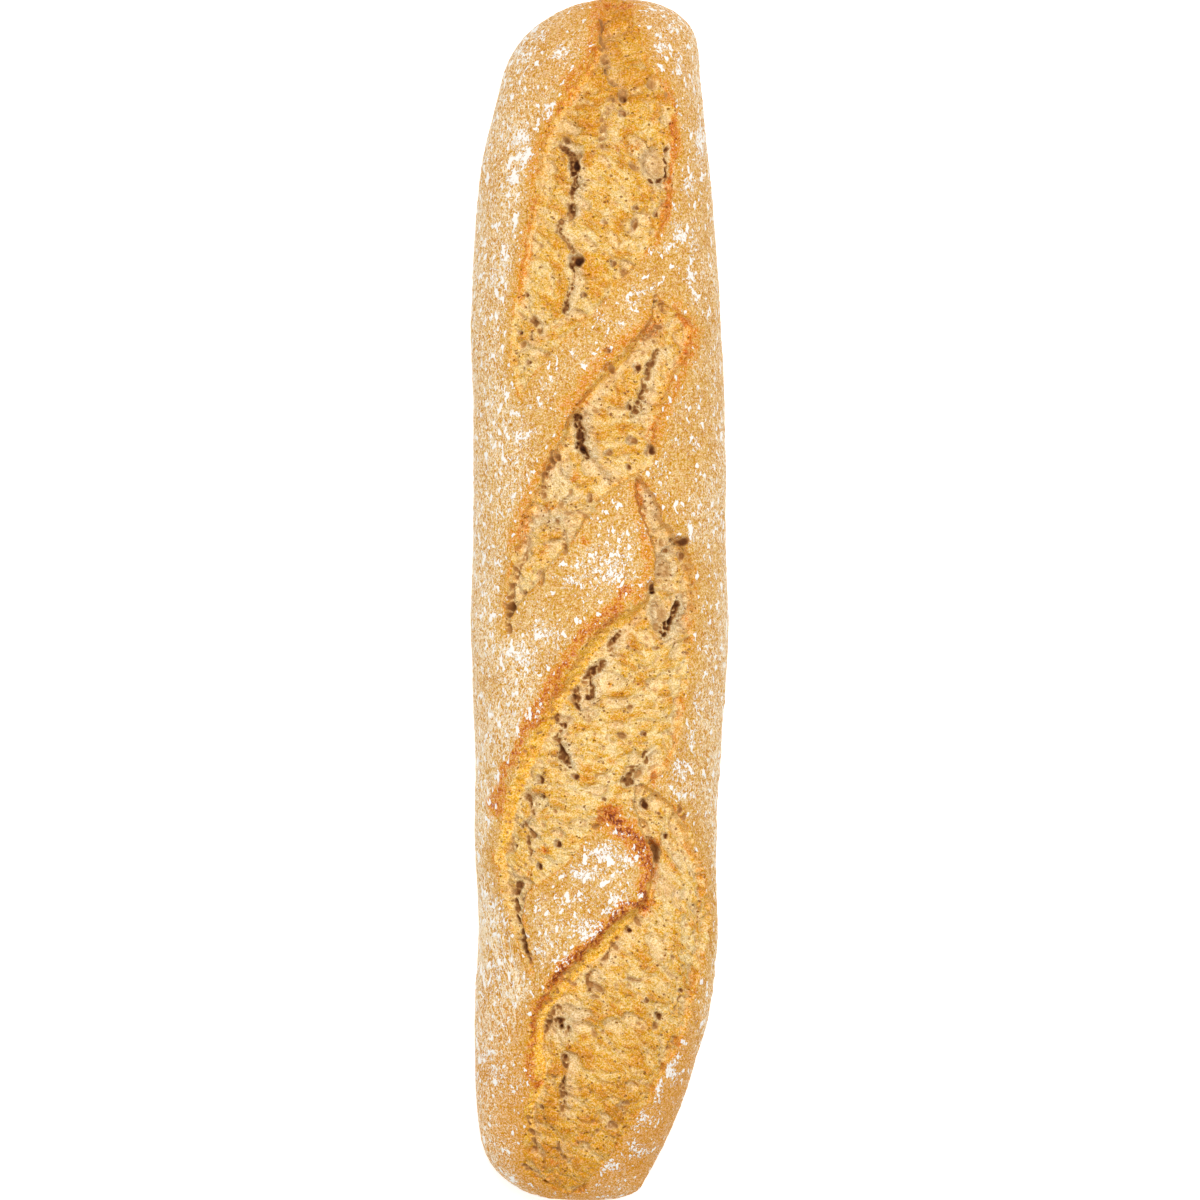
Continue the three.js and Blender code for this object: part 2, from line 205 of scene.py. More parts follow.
LIP_REACH = 7.0  # how far back from an edge a lip has mostly gone
DROP_REACH = 9.0  # how far into an opening a drop has mostly gone
WALL_WIDTH = 1.3  # width of the torn wall at a right edge, seen from above
RELIEF_FADE = 8.0  # height above the girth over which all relief fades in
RELIEF_LEAN = 0.35  # relief rises nearly upright: this share of the surface's own lean is kept
EDGE_STEPS = 60  # points along each torn edge, to measure distances from

# Slow unevenness of hand-shaped dough: waves as (height, x length, y length, phase).
WAVES = [(0.5, 61, 83, 0.4), (0.4, 37, 58, 2.1), (0.25, 23, 31, 4)]

# ---- What the solid leaves out, in the same frame ----
# Cracks in the crumb: depth, half-width, how dark the shade painted in them is, and their line as (x, y)
# places.
CRACKS = [
    (2.0, 1.0, 0.5, [(0, 192), (1, 185), (2, 175), (4.5, 170)]),
    (1.8, 1.0, 0.45, [(4, 164), (1, 158.5), (0.5, 150)]),
    (3.0, 0.9, 0.85, [
        (-12.5, 150), (-9.5, 147.5), (-8.5, 143.5), (-7.5, 136.5), (-9.5, 133.5), (-8.5, 127.5),
    ]),
    (2.6, 0.8, 0.6, [(-8.5, 127.5), (-12.5, 126), (-14.5, 121.5), (-11.5, 118.5), (-8.5, 113.5)]),
    (2.4, 0.8, 0.8, [(-8.5, 113.5), (-8.5, 108.5), (-9.5, 102.5), (-11, 97.5), (-12.5, 95)]),
    (1.8, 1.1, 0.95, [(21.8, 148.5), (22.3, 144), (20.8, 139.5), (17, 138.5)]),
    (2.0, 0.9, 0.7, [(-22.5, 92.5), (-20.5, 88.5)]),
    (1.8, 0.8, 0.5, [(18.5, 99.5), (22.5, 95)]),
    (1.8, 0.8, 0.55, [(20, 91), (14.5, 86)]),
    (2.6, 1.0, 0.75, [(19.5, 81.5), (16.5, 77.5), (15, 71.5), (13.5, 66.5), (11.5, 61)]),
    (4.0, 1.3, 1.0, [(-8.5, 60.5), (-7.5, 55.5), (-6.5, 51.5), (-4.5, 47.5)]),
    (2.4, 0.9, 0.6, [(-15.5, 47.5), (-17.5, 43.5), (-18, 37.5), (-18.5, 33.5)]),
    (1.6, 0.8, 0.4, [(-11, 29), (-5, 27.5)]),
    (2.0, 0.9, 0.5, [(-11.5, 24.5), (-11.5, 16)]),
    (2.0, 0.8, 0.55, [(-25.5, 17.5), (-26, 12.5), (-30, 5.5), (-30, 2), (-31, -5), (-30.5, -9.5)]),
    (3.5, 1.5, 1.0, [(25, -1), (24, -6), (21, -11)]),
    (2.4, 1.1, 0.85, [(6, -11), (4, -14), (2.7, -16)]),
    (3.0, 1.1, 0.9, [(0.5, -20.5), (-1.6, -22.5), (-4.6, -26), (-4.1, -29.8), (-3.9, -32.3)]),
    (2.4, 0.9, 0.8, [(-8.4, -29.8), (-8, -33.2), (-6.3, -36.1)]),
    (2.6, 0.8, 0.75, [(-14.3, -38.3), (-12.2, -41.2), (-14.3, -44.7), (-13, -48.9)]),
    (3.0, 1.1, 0.9, [(-13, -48.9), (-13, -51.4), (-11, -54.4)]),
    (2.4, 0.8, 0.65, [(-24.3, -64.6), (-23.3, -68), (-22.3, -71.5), (-24.6, -73.8), (-22.6, -76.8)]),
    (2.0, 0.8, 0.6, [(-22.6, -76.8), (-23.4, -79.5), (-23.4, -85.3)]),
    (2.2, 0.9, 0.75, [
        (-26.8, -94), (-28.7, -97), (-27.6, -104), (-25.7, -107.8), (-24.5, -112.8), (-23, -120),
    ]),
    (2.0, 0.9, 0.8, [(14.5, -50), (14.6, -53.5)]),
    (2.4, 1.2, 0.75, [(12, -55.5), (9.5, -58.7), (8.2, -60), (11.2, -60.4)]),
    (2.2, 0.7, 0.6, [(5.5, -113), (3.9, -116), (0.5, -120.3)]),
    (2.4, 0.8, 0.65, [(-2.9, -122.8), (-3.5, -126.2), (-4.1, -128.8)]),
    (2.6, 1.0, 0.7, [(-13.5, -135), (-16.5, -139), (-18.6, -144)]),
    (2.6, 1.0, 0.85, [(-14, -139.5), (-12.2, -141), (-11, -142)]),
    (2.4, 0.8, 0.7, [(-12, -150.5), (-11.5, -156), (-12.5, -160.5), (-12.5, -169.5)]),
    (2.0, 0.7, 0.6, [(-13.5, -180), (-12.5, -185.5)]),
    (1.6, 0.6, 0.6, [(-24.5, -170.5), (-21.5, -180), (-21, -183.5)]),
    (1.4, 0.6, 0.6, [(-25.5, -187.5), (-21, -192)]),
    (1.0, 0.4, 0.5, [(26.6, -131.5), (25.6, -136.5)]),
    (1.0, 0.4, 0.5, [(30.6, 5.5), (30.6, 2.5)]),
]

# The largest holes in the crumb: x, y, x radius, y radius, how dark the shade painted in them is.
HOLES = [
    (7.5, 165.5, 1.3, 1.3, 0.7),
    (7.5, 160.5, 1.3, 1.3, 0.6),
    (17.8, 144.5, 4.4, 5.4, 0.24),
    (11.5, 129.5, 1.3, 1.0, 0.6),
    (11.5, 124, 1.2, 2.4, 0.55),
    (18.5, 127.5, 1.0, 1.3, 0.75),
    (1.5, 124.5, 1.3, 0.8, 0.5),
    (4.5, 111, 1.0, 1.3, 0.6),
    (-5.5, 101, 1.3, 1.0, 0.6),
    (-24.5, 101, 1.0, 1.0, 0.7),
    (-26.5, 88.5, 1.0, 1.0, 0.8),
    (-8.5, 143.5, 2.0, 3.2, 1.0),
    (-8.0, 112.0, 2.8, 2.8, 1.0),
    (-23.5, 78.5, 1.0, 1.0, 0.6),
    (3, 76.5, 2.4, 2.0, 0.45),
    (2.5, 82, 1.2, 0.9, 0.6),
    (12.5, 77, 1.4, 2.0, 0.85),
    (9.5, 63.5, 1.2, 1.2, 0.85),
    (10.5, 52.5, 1.8, 1.6, 0.5),
    (16.5, 49.5, 1.5, 2.2, 0.85),
    (2.5, 48.5, 1.7, 1.3, 0.5),
    (-6.5, 50.5, 1.8, 2.0, 1.0),
    (9.5, 44, 1.0, 1.4, 0.7),
    (-3.5, 33.5, 1.0, 2.0, 0.6),
    (-14.5, 47.5, 1.5, 1.7, 0.5),
    (-19.5, 7.5, 1.4, 2.8, 0.3),
    (-25, 2.5, 1.0, 1.0, 0.5),
    (26.2, 19.7, 2.6, 1.8, 0.85),
    (27.9, 14.4, 1.2, 1.6, 0.55),
    (20.5, 10.5, 3.4, 4.4, 0.3),
    (19.5, -4.5, 3.2, 4.6, 0.28),
    (21.9, 16.3, 1.2, 0.8, 0.6),
    (16.5, 4.6, 1.8, 1.9, 0.8),
    (17.0, 2.7, 1.2, 0.8, 1.0),
    (18.5, -16, 1.2, 0.8, 0.6),
    (28.5, -17.5, 0.8, 0.8, 0.5),
    (14.6, -44.2, 1.2, 1.0, 0.7),
    (-12.3, -41.3, 1.2, 1.2, 0.85),
    (-8.2, -58.3, 1.4, 1.3, 0.85),
    (-19.9, -59.1, 1.4, 2.0, 0.75),
    (-18.5, -64.5, 1.0, 1.0, 0.7),
    (14.8, -67.9, 1.6, 2.1, 0.9),
    (1.2, -66, 0.9, 0.9, 0.6),
    (-13.8, -80.3, 1.1, 1.4, 0.9),
    (-25.5, -74.8, 0.9, 0.9, 0.7),
    (-28, -81.2, 0.8, 1.0, 0.75),
    (-19.9, -88.3, 1.1, 1.5, 0.8),
    (-28.7, -97.1, 1.6, 1.4, 0.55),
    (19.5, -70.5, 1.0, 0.7, 0.6),
    (22.4, -78, 0.7, 0.9, 0.85),
    (26, -69, 0.6, 1.8, 0.6),
    (27.6, -72, 0.8, 1.6, 0.5),
    (18.2, -83.5, 2.0, 4.2, 0.6),
    (9.4, -109.3, 1.3, 1.3, 0.95),
    (-9, -126.8, 1.5, 0.8, 0.45),
    (-14.3, -129.2, 0.9, 0.9, 0.5),
    (11.6, -125.6, 3.2, 0.9, 0.35),
    (-1.6, -131.3, 2.0, 0.7, 0.4),
    (15, -132.4, 1.2, 0.8, 0.6),
    (27, -129.2, 0.9, 1.4, 0.7),
    (19.5, -137.9, 1.4, 1.6, 0.75),
    (-12.2, -150.9, 1.2, 1.4, 0.85),
    (-19.5, -167.5, 1.0, 1.0, 0.6),
    (8.5, -166.5, 1.7, 1.0, 0.4),
    (4.5, -174, 2.0, 1.3, 0.4),
]

# Pale pockets of crumb, part of the grey field: x, y, x radius, y radius, how pale.
# Some are barely baked crumb, and the greyer ones in deep pockets and beside the ears are painted shade.
PALE_POCKETS = [
    (-22, 83, 5, 9, 0.6),
    (17, 85, 4, 5, 0.7),
    (5.5, 77, 3, 4, 0.8),
    (16, 77, 3, 4, 0.7),
    (1, 69, 3, 2, 0.6),
    (-5, 61, 5, 4, 0.9),
    (10.5, 65, 4, 4, 0.6),
    (0, 45, 5, 3, 0.6),
    (2.5, 39.5, 3, 3, 0.8),
    (-16.5, 41, 3, 5, 0.8),
    (-10.5, 34, 7, 4, 0.8),
    (-20, 26, 5, 3, 0.9),
    (-10, 21, 3, 5, 0.8),
    (-27, 10, 3, 5, 0.6),
    (16, 35, 3, 5, 1.0),
    (18.5, 29, 3, 5, 1.0),
    (22, 16, 4, 5, 0.9),
    (23.5, 10, 3, 4, 0.9),
    (20.5, -5, 5, 6, 0.9),
    (-5, -33, 4, 6, 0.5),
    (-12, -48, 4, 5, 0.6),
    (-28, -92, 3, 3, 0.7),
    (18, -91, 3, 4, 0.8),
    (24, -97, 5, 3, 0.7),
    (26.5, -86, 4, 4, 0.6),
    (20, -114, 4, 3, 0.5),
    (2, -120, 4, 2, 0.7),
    (-8, -137, 5, 4, 0.9),
    (-13, -143, 3, 5, 0.9),
    (21, -128, 3, 2, 0.5),
    (20, -92, 9, 7, 0.5),
    (30, -104, 5, 9, 0.4),
    (-11, -139, 5, 7, 1.0),
    (16.5, 37, 3.5, 6, 1.0),
    (-23, 24, 6, 4, 0.7),
    (-14, 27, 6, 5, 0.9),
    (-12, 42, 5, 5, 0.8),
    (3, 42, 6, 4, 0.8),
    (-24, 18, 4, 7, 0.7),
]

# Browned crust along the torn edges: half-width, how brown, and the line as (x, y) places.
TOASTED_LINES = [
    (3.0, 0.55, [(-0.5, 196), (-2, 186), (-5, 177), (-10, 170)]),
    (2.5, 0.45, [(-8, 168), (-16, 160), (-19, 153), (-21, 147), (-22, 133), (-25.5, 113), (-27, 100)]),
    (1.8, 0.6, [(22, 171), (24.5, 160), (25, 145), (23, 133), (18.5, 118)]),
    (4.0, 0.5, [(18.5, 92.5), (8.5, 85), (0, 77.5), (-5, 70), (-10, 63)]),
    (3.0, 0.45, [(-10, 63), (-14.5, 51.5), (-20, 41.5), (-25, 30), (-28.5, 18.5)]),
    (3.5, 0.5, [(25, 96.5), (31, 88.5), (28.5, 78.5), (22.5, 66.5), (18.5, 53.5)]),
    (3.2, 0.72, [
        (8, 2.5), (3, -4), (-5, -10.5), (-11, -20), (-17.5, -31), (-24, -43), (-30, -56), (-34, -69),
    ]),
    (2.8, 0.5, [(11.5, 38), (13.5, 25), (16, 12), (15.5, 5), (11, -1)]),
    (2.0, 1.0, [(15, -101.5), (9.5, -100), (2.5, -106.5), (-3.5, -113.5), (-10, -119.5), (-15, -126)]),
    (1.7, 0.75, [(-15, -126), (-20, -132.5), (-23, -143.5), (-22.5, -160)]),
    (4.6, 1.0, [(3, -71.5), (9.5, -77.5), (14.5, -83)]),
    (3.2, 0.95, [(15.5, -85), (14, -93), (14.5, -99)]),
    (2.5, 0.3, [(30, 0), (30, -20), (26.5, -40), (20.5, -60)]),
    (2.5, 0.3, [(29, -80), (35, -98), (33, -120), (27.5, -142), (19, -160)]),
]

# How strongly each stretch of the crumb and the crust is baked, along y: most at the two ends.
CRUMB_BAKE = [
    (200, 1), (185, 0.9), (155, 0.2), (95, 0.15), (50, 0.1), (0, 0), (-110, 0), (-150, 0.3), (-200, 0.9),
]
CRUST_BAKE = [(200, 0.9), (190, 0.35), (150, 0.15), (80, 0), (-120, 0), (-145, 0.5), (-200, 1)]

# How far the crumb's torn fibres slant down towards the right, along y.
FIBRE_SLANT = [
    (200, -0.3), (160, 0.1), (130, 0.4), (95, 0.1), (50, 0.3),
    (-30, 0), (-80, 0.25), (-115, 0.5), (-170, 0.3),
]

# Patches of fine dry wrinkles in the crust: x, y, x radius, y radius, how strong.
WRINKLED = [
    (-32, -114, 8, 20, 1.0),
    (-36, -60, 4, 22, 0.5),
    (-30, -140, 8, 12, 0.5),
    (36, -60, 4, 20, 0.4),
    (31, -132, 4, 20, 0.7),
    (36.5, -105, 3, 18, 0.7),
]

# Toasted spots on the crumb, and the brown rim of the far end: x, y, x radius, y radius, how brown.
TOASTED_SPOTS = [
    (8.5, 150, 5, 2, 0.5),
    (11.5, 141.5, 2, 2, 0.4),
    (18.5, 160, 2, 3, 0.4),
    (-15, 88, 2, 2, 0.4),
    (-7.5, 40, 3, 3, 0.55),
    (-16.5, 30.5, 3, 2, 0.6),
    (-19, 16.5, 2, 2, 0.5),
    (-5.5, 19.5, 2, 2, 0.6),
    (13.5, -27.5, 3, 2, 0.45),
    (3.5, -28.5, 2, 2, 0.4),
    (6.5, -47.5, 2, 2, 0.4),
    (3.5, -53.5, 2, 2, 0.4),
    (17.5, -59.5, 2, 4, 0.6),
    (-18.5, -82.5, 3, 2, 0.7),
    (-23.5, -90.5, 2, 3, 0.5),
    (-7.5, -116.5, 3, 2, 0.3),
    (13.5, -145.5, 3, 2, 0.35),
    (-21, -160, 2, 3, 0.8),
    (-13.5, -166.5, 3, 3, 0.3),
    (-6.5, -179, 3, 2, 0.5),
    (6.5, -181.5, 3, 2, 0.4),
    (-3, -172, 4, 3, 0.4),
    (1, -161, 4, 2, 0.35),
    (10, -154, 3, 2, 0.35),
    (-15, -187, 4, 2, 0.5),
    (-16, -193, 5, 2, 0.5),
    (6.5, 198, 9, 3, 0.7),
]

# Where flour lies thick: x, y, x radius, y radius, how thick.
FLOUR_PATCHES = [
    (-14, 181.5, 3, 3, 0.9),
    (-25, 181, 2, 3, 0.7),
    (-20, 187.5, 2, 2, 0.7),
    (-17.5, 160.5, 2, 3, 0.8),
    (-26.5, 152.5, 3, 3, 0.9),
    (-25, 146.5, 3, 3, 0.9),
    (-27.5, 140, 2, 3, 0.8),
    (23.5, 189, 2, 2, 0.8),
    (18.5, 187.5, 1, 1, 0.6),
    (18.5, 182.5, 2, 3, 0.9),
    (25.5, 176.5, 2, 3, 0.8),
    (26.5, 161.5, 1, 4, 0.7),
    (32.5, 151.5, 3, 5, 0.9),
    (30, 138.5, 2, 3, 0.7),
    (-28.5, 125, 1, 3, 0.8),
    (-31, 112.5, 1, 4, 0.8),
    (-33.5, 106.5, 2, 3, 0.6),
    (25, 129.5, 2, 2, 0.7),
    (26.5, 121.5, 3, 3, 0.8),
    (23.5, 116.5, 3, 2, 0.7),
    (30.5, 116.5, 2, 3, 0.7),
    (30.5, 105.5, 1, 8, 1.0),
    (15, 102.5, 3, 1, 0.8),
    (11.5, 99, 2, 1, 0.8),
    (0, 93.5, 2, 2, 0.9),
    (7.5, 90.5, 3, 1, 0.9),
    (-9.5, 81.5, 2, 2, 0.7),
    (-16.5, 78.5, 2, 2, 0.6),
    (-18.5, 70.5, 2, 2, 0.5),
    (-22.5, 56, 2, 1, 0.7),
    (-26.5, 53.5, 3, 2, 0.7),
    (-29.5, 47.5, 2, 1, 0.6),
    (25.5, 52.5, 1, 3, 0.8),
    (30, 51.5, 2, 2, 0.7),
    (20, 44.5, 2, 3, 0.7),
    (21, 36.5, 2, 3, 0.6),
    (30, 21, 1, 3, 0.7),
    (2.5, 10.5, 8, 7, 0.6),
    (-10.5, 6, 4, 3, 0.7),
    (15, 23.5, 2, 4, 0.5),
    (-26.5, -18.5, 5, 3, 0.7),
    (-18.5, -11.5, 4, 3, 0.7),
    (-20, -36.5, 2, 3, 0.6),
    (32.5, -33.5, 1, 5, 0.7),
    (28.5, -45, 2, 3, 0.7),
    (26.5, -56, 2, 3, 0.8),
    (25.5, -63.5, 2, 3, 0.7),
    (6.5, -77.5, 4, 1, 0.8),
    (0.5, -83.5, 5, 3, 1.0),
    (8.5, -85, 4, 3, 0.9),
    (-3.5, -91, 5, 3, 1.0),
    (5.5, -98, 5, 2, 1.0),
    (3.5, -102.5, 3, 2, 1.0),
    (-3.5, -109, 5, 3, 1.0),
    (-11.5, -119, 3, 3, 0.8),
    (-18.5, -116.5, 3, 3, 0.5),
    (-6, -90, 7, 4, 0.6),
    (-8, -99, 7, 4, 0.5),
    (-9, -108, 7, 4, 0.5),
    (-14, -113, 5, 4, 0.4),
    (-18, -104, 4, 5, 0.3),
    (-32, -105, 5, 9, 0.4),
    (-34, -125, 4, 9, 0.4),
    (-34, -157.5, 3, 3, 0.6),
    (-38.5, -151.5, 2, 4, 0.6),
    (-28.5, -161.5, 2, 3, 0.5),
    (19.5, -161, 2, 6, 0.9),
    (24.5, -155, 2, 7, 0.9),
    (14.5, -171, 3, 4, 0.9),
    (12, -183, 4, 3, 0.9),
    (4, -187.5, 4, 3, 0.9),
]

# ---- The mesh ----
ROWS = 1180
CROWN_COLUMNS = 206  # over the crown, where the openings are
SHOULDER_COLUMNS = 22  # on each side, down to the girth
BELLY_COLUMNS = 10  # on each side, down to the base
BASE_COLUMNS = 8
CROWN_SPAN = math.radians(33.5)  # the angle above the girth where the crown's columns begin
BELLY_SPAN = math.radians(65)  # the angle below the girth where the belly's columns end
END_CROWDING = 0.1  # how strongly the rows crowd towards the two ends
SLIGHT = 0.02  # the step over which the outward direction is measured
OUTSIDE = -50.0  # distance from an opening's edge that stands for far outside all of them

# The skin comes in pieces of under 200,000 triangles: the crumb of each opening, and the crust in thirds.
CRUST_PIECES = ["crust_far", "crust_middle", "crust_near"]
CRUMB_PIECES = ["crumb_1", "crumb_2", "crumb_3", "crumb_4"]
MAP_NAME = "OFBake"  # the name of each piece's own map
FIELDS = [
    "edge", "bake", "toast", "flakes", "dust_and_light", "cavity_shade", "hollow", "sunken_shade", "raised", "grey", "scarp",
    "underside", "along", "across", "wrinkled", "folds",
]

# How a place lies to its surroundings, from blurs of the relief: the passes over the grid, and the depth or
# height that counts as full.
# A place that lies below its close surroundings is painted darker: painted shade in the crumb's pits and
# the crust's creases.
SUNKEN_BLUR = 4
SUNKEN_DEPTH = 0.5  # in the crumb
CREASE_DEPTH = 0.18  # and in the crust
HOLLOW_BLUR = 24
HOLLOW_DEPTH = 1.2
RAISED_BLUR = 120
RAISED_BY = 1.2

# The cracks' pits, and the grey trough beside them.
CRACK_WIDTH = 1.2  # as a multiple of the half-widths in the table
PIT_SIZE = 1.6
TROUGH_SHIFT = 1.6
TROUGH_SPREAD = 3.2
TROUGH_DEPTH = 0.9

# The torn face below an ear: it reaches a little past the scarp, and shows where the scarp is this wide.
SCARP_REACH = 1.1
SCARP_SHOWS_FROM = 2.2
SCARP_SHOWS_FULLY = 3.2

# How ragged an outline is, as shifts of (size, amount).
EDGE_TEAR = [(5.0, 0.7), (1.7, 0.5), (0.8, 0.25)]
CRACK_TEAR = [(5.0, 0.8), (1.9, 0.6), (0.9, 0.25)]
HOLE_TEAR = [(2.5, 0.4), (1.1, 0.3)]
TOAST_TEAR = [(6.0, 1.0), (2.0, 0.7), (0.9, 0.4)]
FLOUR_TEAR = [(5.0, 1.6), (1.8, 0.9)]
PALE_TEAR = [(4.0, 1.2), (1.5, 0.7)]

# Pores as (spacing, share of the places that hold one, seed).
BIG_PORES = (6.0, 0.10, 57)
SMALL_PORES = (2.6, 0.3, 58)
TINY_PORES = (1.5, 0.5, 59)
SCARP_PORES = (2.2, 0.45, 63)

# The torn crumb's lumps as (height, stretch along the fibres, size, seed), and how much its relief and the
# scarp's are lowered as a whole.
LUMPS = [(1.3, 1.7, 4.2, 60), (1.2, 1.4, 2.3, 64), (0.7, 1.2, 1.1, 65)]
CRUMB_LEVEL = -1.9
SCARP_LEVEL = -0.5

# How far out from a line or a spot its effect is worked out, in half-widths or radii.
CRACK_FOLLOWED = 3.0
TOAST_FOLLOWED = 3.5
HOLE_FOLLOWED = 1.6
SPOT_FOLLOWED = 2.5


def clamp01(value):
    return np.clip(value, 0.0, 1.0)


def smoothstep(value, low=0.0, high=1.0):
    t = clamp01((value - low) / (high - low))
    return t * t * (3 - 2 * t)


def blend(first, second, share):
    return first * (1 - share) + second * share


def curve_through(stations):
    """A smooth function through (at, value) stations, level beyond the first and last."""
    points = np.array(sorted(stations), dtype=float)
    at = points[:, 0]
    value = points[:, 1]
    last = len(at) - 1
    before = np.maximum(np.arange(last + 1) - 1, 0)
    after = np.minimum(np.arange(last + 1) + 1, last)
    slope = (value[after] - value[before]) / (at[after] - at[before])

    def curve(where):
        inside = np.clip(where, at[0], at[-1])
        i = np.clip(np.searchsorted(at, inside, side="right") - 1, 0, last - 1)
        width = at[i + 1] - at[i]
        t = (inside - at[i]) / width
        rise = 3 * t**2 - 2 * t**3
        leave = t * (1 - t) ** 2 * width * slope[i]
        arrive = t**2 * (t - 1) * width * slope[i + 1]
        return value[i] * (1 - rise) + value[i + 1] * rise + leave + arrive

    return curve


left_side = curve_through([(y, left) for y, left, right in SIDES])
right_side = curve_through([(y, right) for y, left, right in SIDES])
crown = curve_through(CROWN)
middle = curve_through(MIDDLE)


def round_off(distance, rounding):
    """0 at an end's tip and 1 from the rounding's length on, round between them."""
    length, power = rounding
    left = 1 - clamp01(distance / length)
    return (1 - left**power) ** (1 / power)


def smooth_loaf(y, angle):
    """The smooth surface at y, at an angle round the section: 0 at the left, a quarter turn on top."""
    far = LENGTH / 2 - y
    near = LENGTH / 2 + y
    x = middle(y)
    left = (x - left_side(y)) * round_off(far, FAR_LEFT_ROUND) * round_off(near, NEAR_LEFT_ROUND)
    right = (right_side(y) - x) * round_off(far, FAR_RIGHT_ROUND) * round_off(near, NEAR_RIGHT_ROUND)
    dome = (crown(y) - GIRTH_LEVEL) * round_off(far, CROWN_ROUND) * round_off(near, CROWN_ROUND)
    belly = GIRTH_LEVEL * BELLY_DROP * round_off(far, BASE_ROUND) * round_off(near, BASE_ROUND)
    across = -np.cos(angle)
    up = np.sin(angle)
    power = 2 / np.where(up > 0, DOME_POWER, BELLY_POWER)
    reach = np.where(across > 0, right, left)
    depth = np.where(up > 0, dome, belly)
    place_x = x + np.sign(across) * reach * np.abs(across) ** power
    place_z = np.maximum(0, GIRTH_LEVEL + np.sign(up) * depth * np.abs(up) ** power)
    return np.stack(np.broadcast_arrays(place_x, y, place_z), axis=-1)


def outward(y, angle):
    """The smooth surface's outward direction."""
    along = smooth_loaf(y + SLIGHT, angle) - smooth_loaf(y - SLIGHT, angle)
    round_it = smooth_loaf(y, angle + SLIGHT) - smooth_loaf(y, angle - SLIGHT)
    return unit(np.cross(round_it, along))


def unit(vectors):
    return vectors / np.maximum(np.linalg.norm(vectors, axis=-1, keepdims=True), 1e-9)


# ---- Noise, the same on every run ----
TABLE_SIZE = 256


def lattice_noise(x, y, size, seed):
    """Smooth noise from -1 to 1 with features of the given size."""
    table = np.random.default_rng(seed).uniform(-1, 1, (TABLE_SIZE, TABLE_SIZE))
    column = np.floor(x / size).astype(int)
    row = np.floor(y / size).astype(int)
    u = smoothstep(x / size - column)
    v = smoothstep(y / size - row)

    def at(i, j):
        return table[(column + i) % TABLE_SIZE, (row + j) % TABLE_SIZE]

    return blend(blend(at(0, 0), at(1, 0), u), blend(at(0, 1), at(1, 1), u), v)


def fractal_noise(x, y, size, seed, octaves=3):
    total = 0.0
    for octave in range(octaves):
        total = total + lattice_noise(x, y, size / 2**octave, seed + octave) / 2**octave
    return total / (2 - 2 ** (1 - octaves))


def billows(x, y, size, seed):
    """Puffed lumps with a crease between them: 0 in the creases, mostly under 1 on the lumps."""
    return np.abs(lattice_noise(x, y, size, seed)) * 1.4


def nearest_cell(x, y, seed):
    """Distances to the nearest and second nearest of scattered centres, and two values of the nearest."""
    rng = np.random.default_rng(seed)
    centres = rng.random((TABLE_SIZE, TABLE_SIZE, 2))
    values = rng.random((TABLE_SIZE, TABLE_SIZE, 2))
    column = np.floor(x).astype(int)
    row = np.floor(y).astype(int)
    nearest = np.full(np.shape(x), np.inf)
    second = np.full(np.shape(x), np.inf)
    value = np.zeros((*np.shape(x), 2))
    for i in (-1, 0, 1):
        for j in (-1, 0, 1):
            cell = ((column + i) % TABLE_SIZE, (row + j) % TABLE_SIZE)
            centre = centres[cell]
            distance = np.hypot(x - column - i - centre[..., 0], y - row - j - centre[..., 1])
            nearer = distance < nearest
            second = np.minimum(second, np.maximum(nearest, distance))
            nearest = np.where(nearer, distance, nearest)
            value = np.where(nearer[..., None], values[cell], value)
    return nearest, second, value[..., 0], value[..., 1]


def ragged(x, y, shifts, seed):
    """The points moved about a little, so that what is measured from them has a torn outline."""
    moved_x = x
    moved_y = y
    for step, (size, amount) in enumerate(shifts):
        moved_x = moved_x + amount * lattice_noise(x, y, size, seed + 2 * step)
        moved_y = moved_y + amount * lattice_noise(x, y, size, seed + 2 * step + 1)
    return moved_x, moved_y


# ---- Measuring from the placed lines and spots ----
def distance_to_line(x, y, line):
    nearest = np.full(np.shape(x), np.inf)
    for (ax, ay), (bx, by) in zip(line[:-1], line[1:]):
        length = (bx - ax) ** 2 + (by - ay) ** 2
        t = clamp01(((x - ax) * (bx - ax) + (y - ay) * (by - ay)) / length)
        nearest = np.minimum(nearest, np.hypot(x - ax - t * (bx - ax), y - ay - t * (by - ay)))
    return nearest


def around(x, y, places, margin):
    """Which points lie within a margin of the box round some (x, y) places."""
    corners = np.array(places)
    low = corners.min(axis=0) - margin
    high = corners.max(axis=0) + margin
    return (x > low[0]) & (x < high[0]) & (y > low[1]) & (y < high[1])


def strongest_near(x, y, lines, widen, reach_to, shape):
    """The strongest at each point of some lines, each (strength, half-width, places), by a shape."""
    strongest = np.zeros(np.shape(x))
    for strength, half_width, places in lines:
        near = around(x, y, places, half_width * reach_to)
        reach = distance_to_line(x[near], y[near], places) / (half_width * widen[near])
        strongest[near] = np.maximum(strongest[near], strength * shape(reach))
    return strongest


def strongest_spot(x, y, spots, reach_to, shape):
    """The strongest at each point of some spots, each (x, y, x radius, y radius, strength)."""
    strongest = np.zeros(np.shape(x))
    for spot_x, spot_y, radius_x, radius_y, strength in spots:
        near = around(x, y, [(spot_x, spot_y)], max(radius_x, radius_y) * reach_to)
        reach = np.hypot((x[near] - spot_x) / radius_x, (y[near] - spot_y) / radius_y)
        strongest[near] = np.maximum(strongest[near], strength * shape(reach))
    return strongest


def soft(reach):
    return np.exp(-(reach**2))


def steep(reach):
    return 1 - smoothstep(reach, 0.45, 1.2)


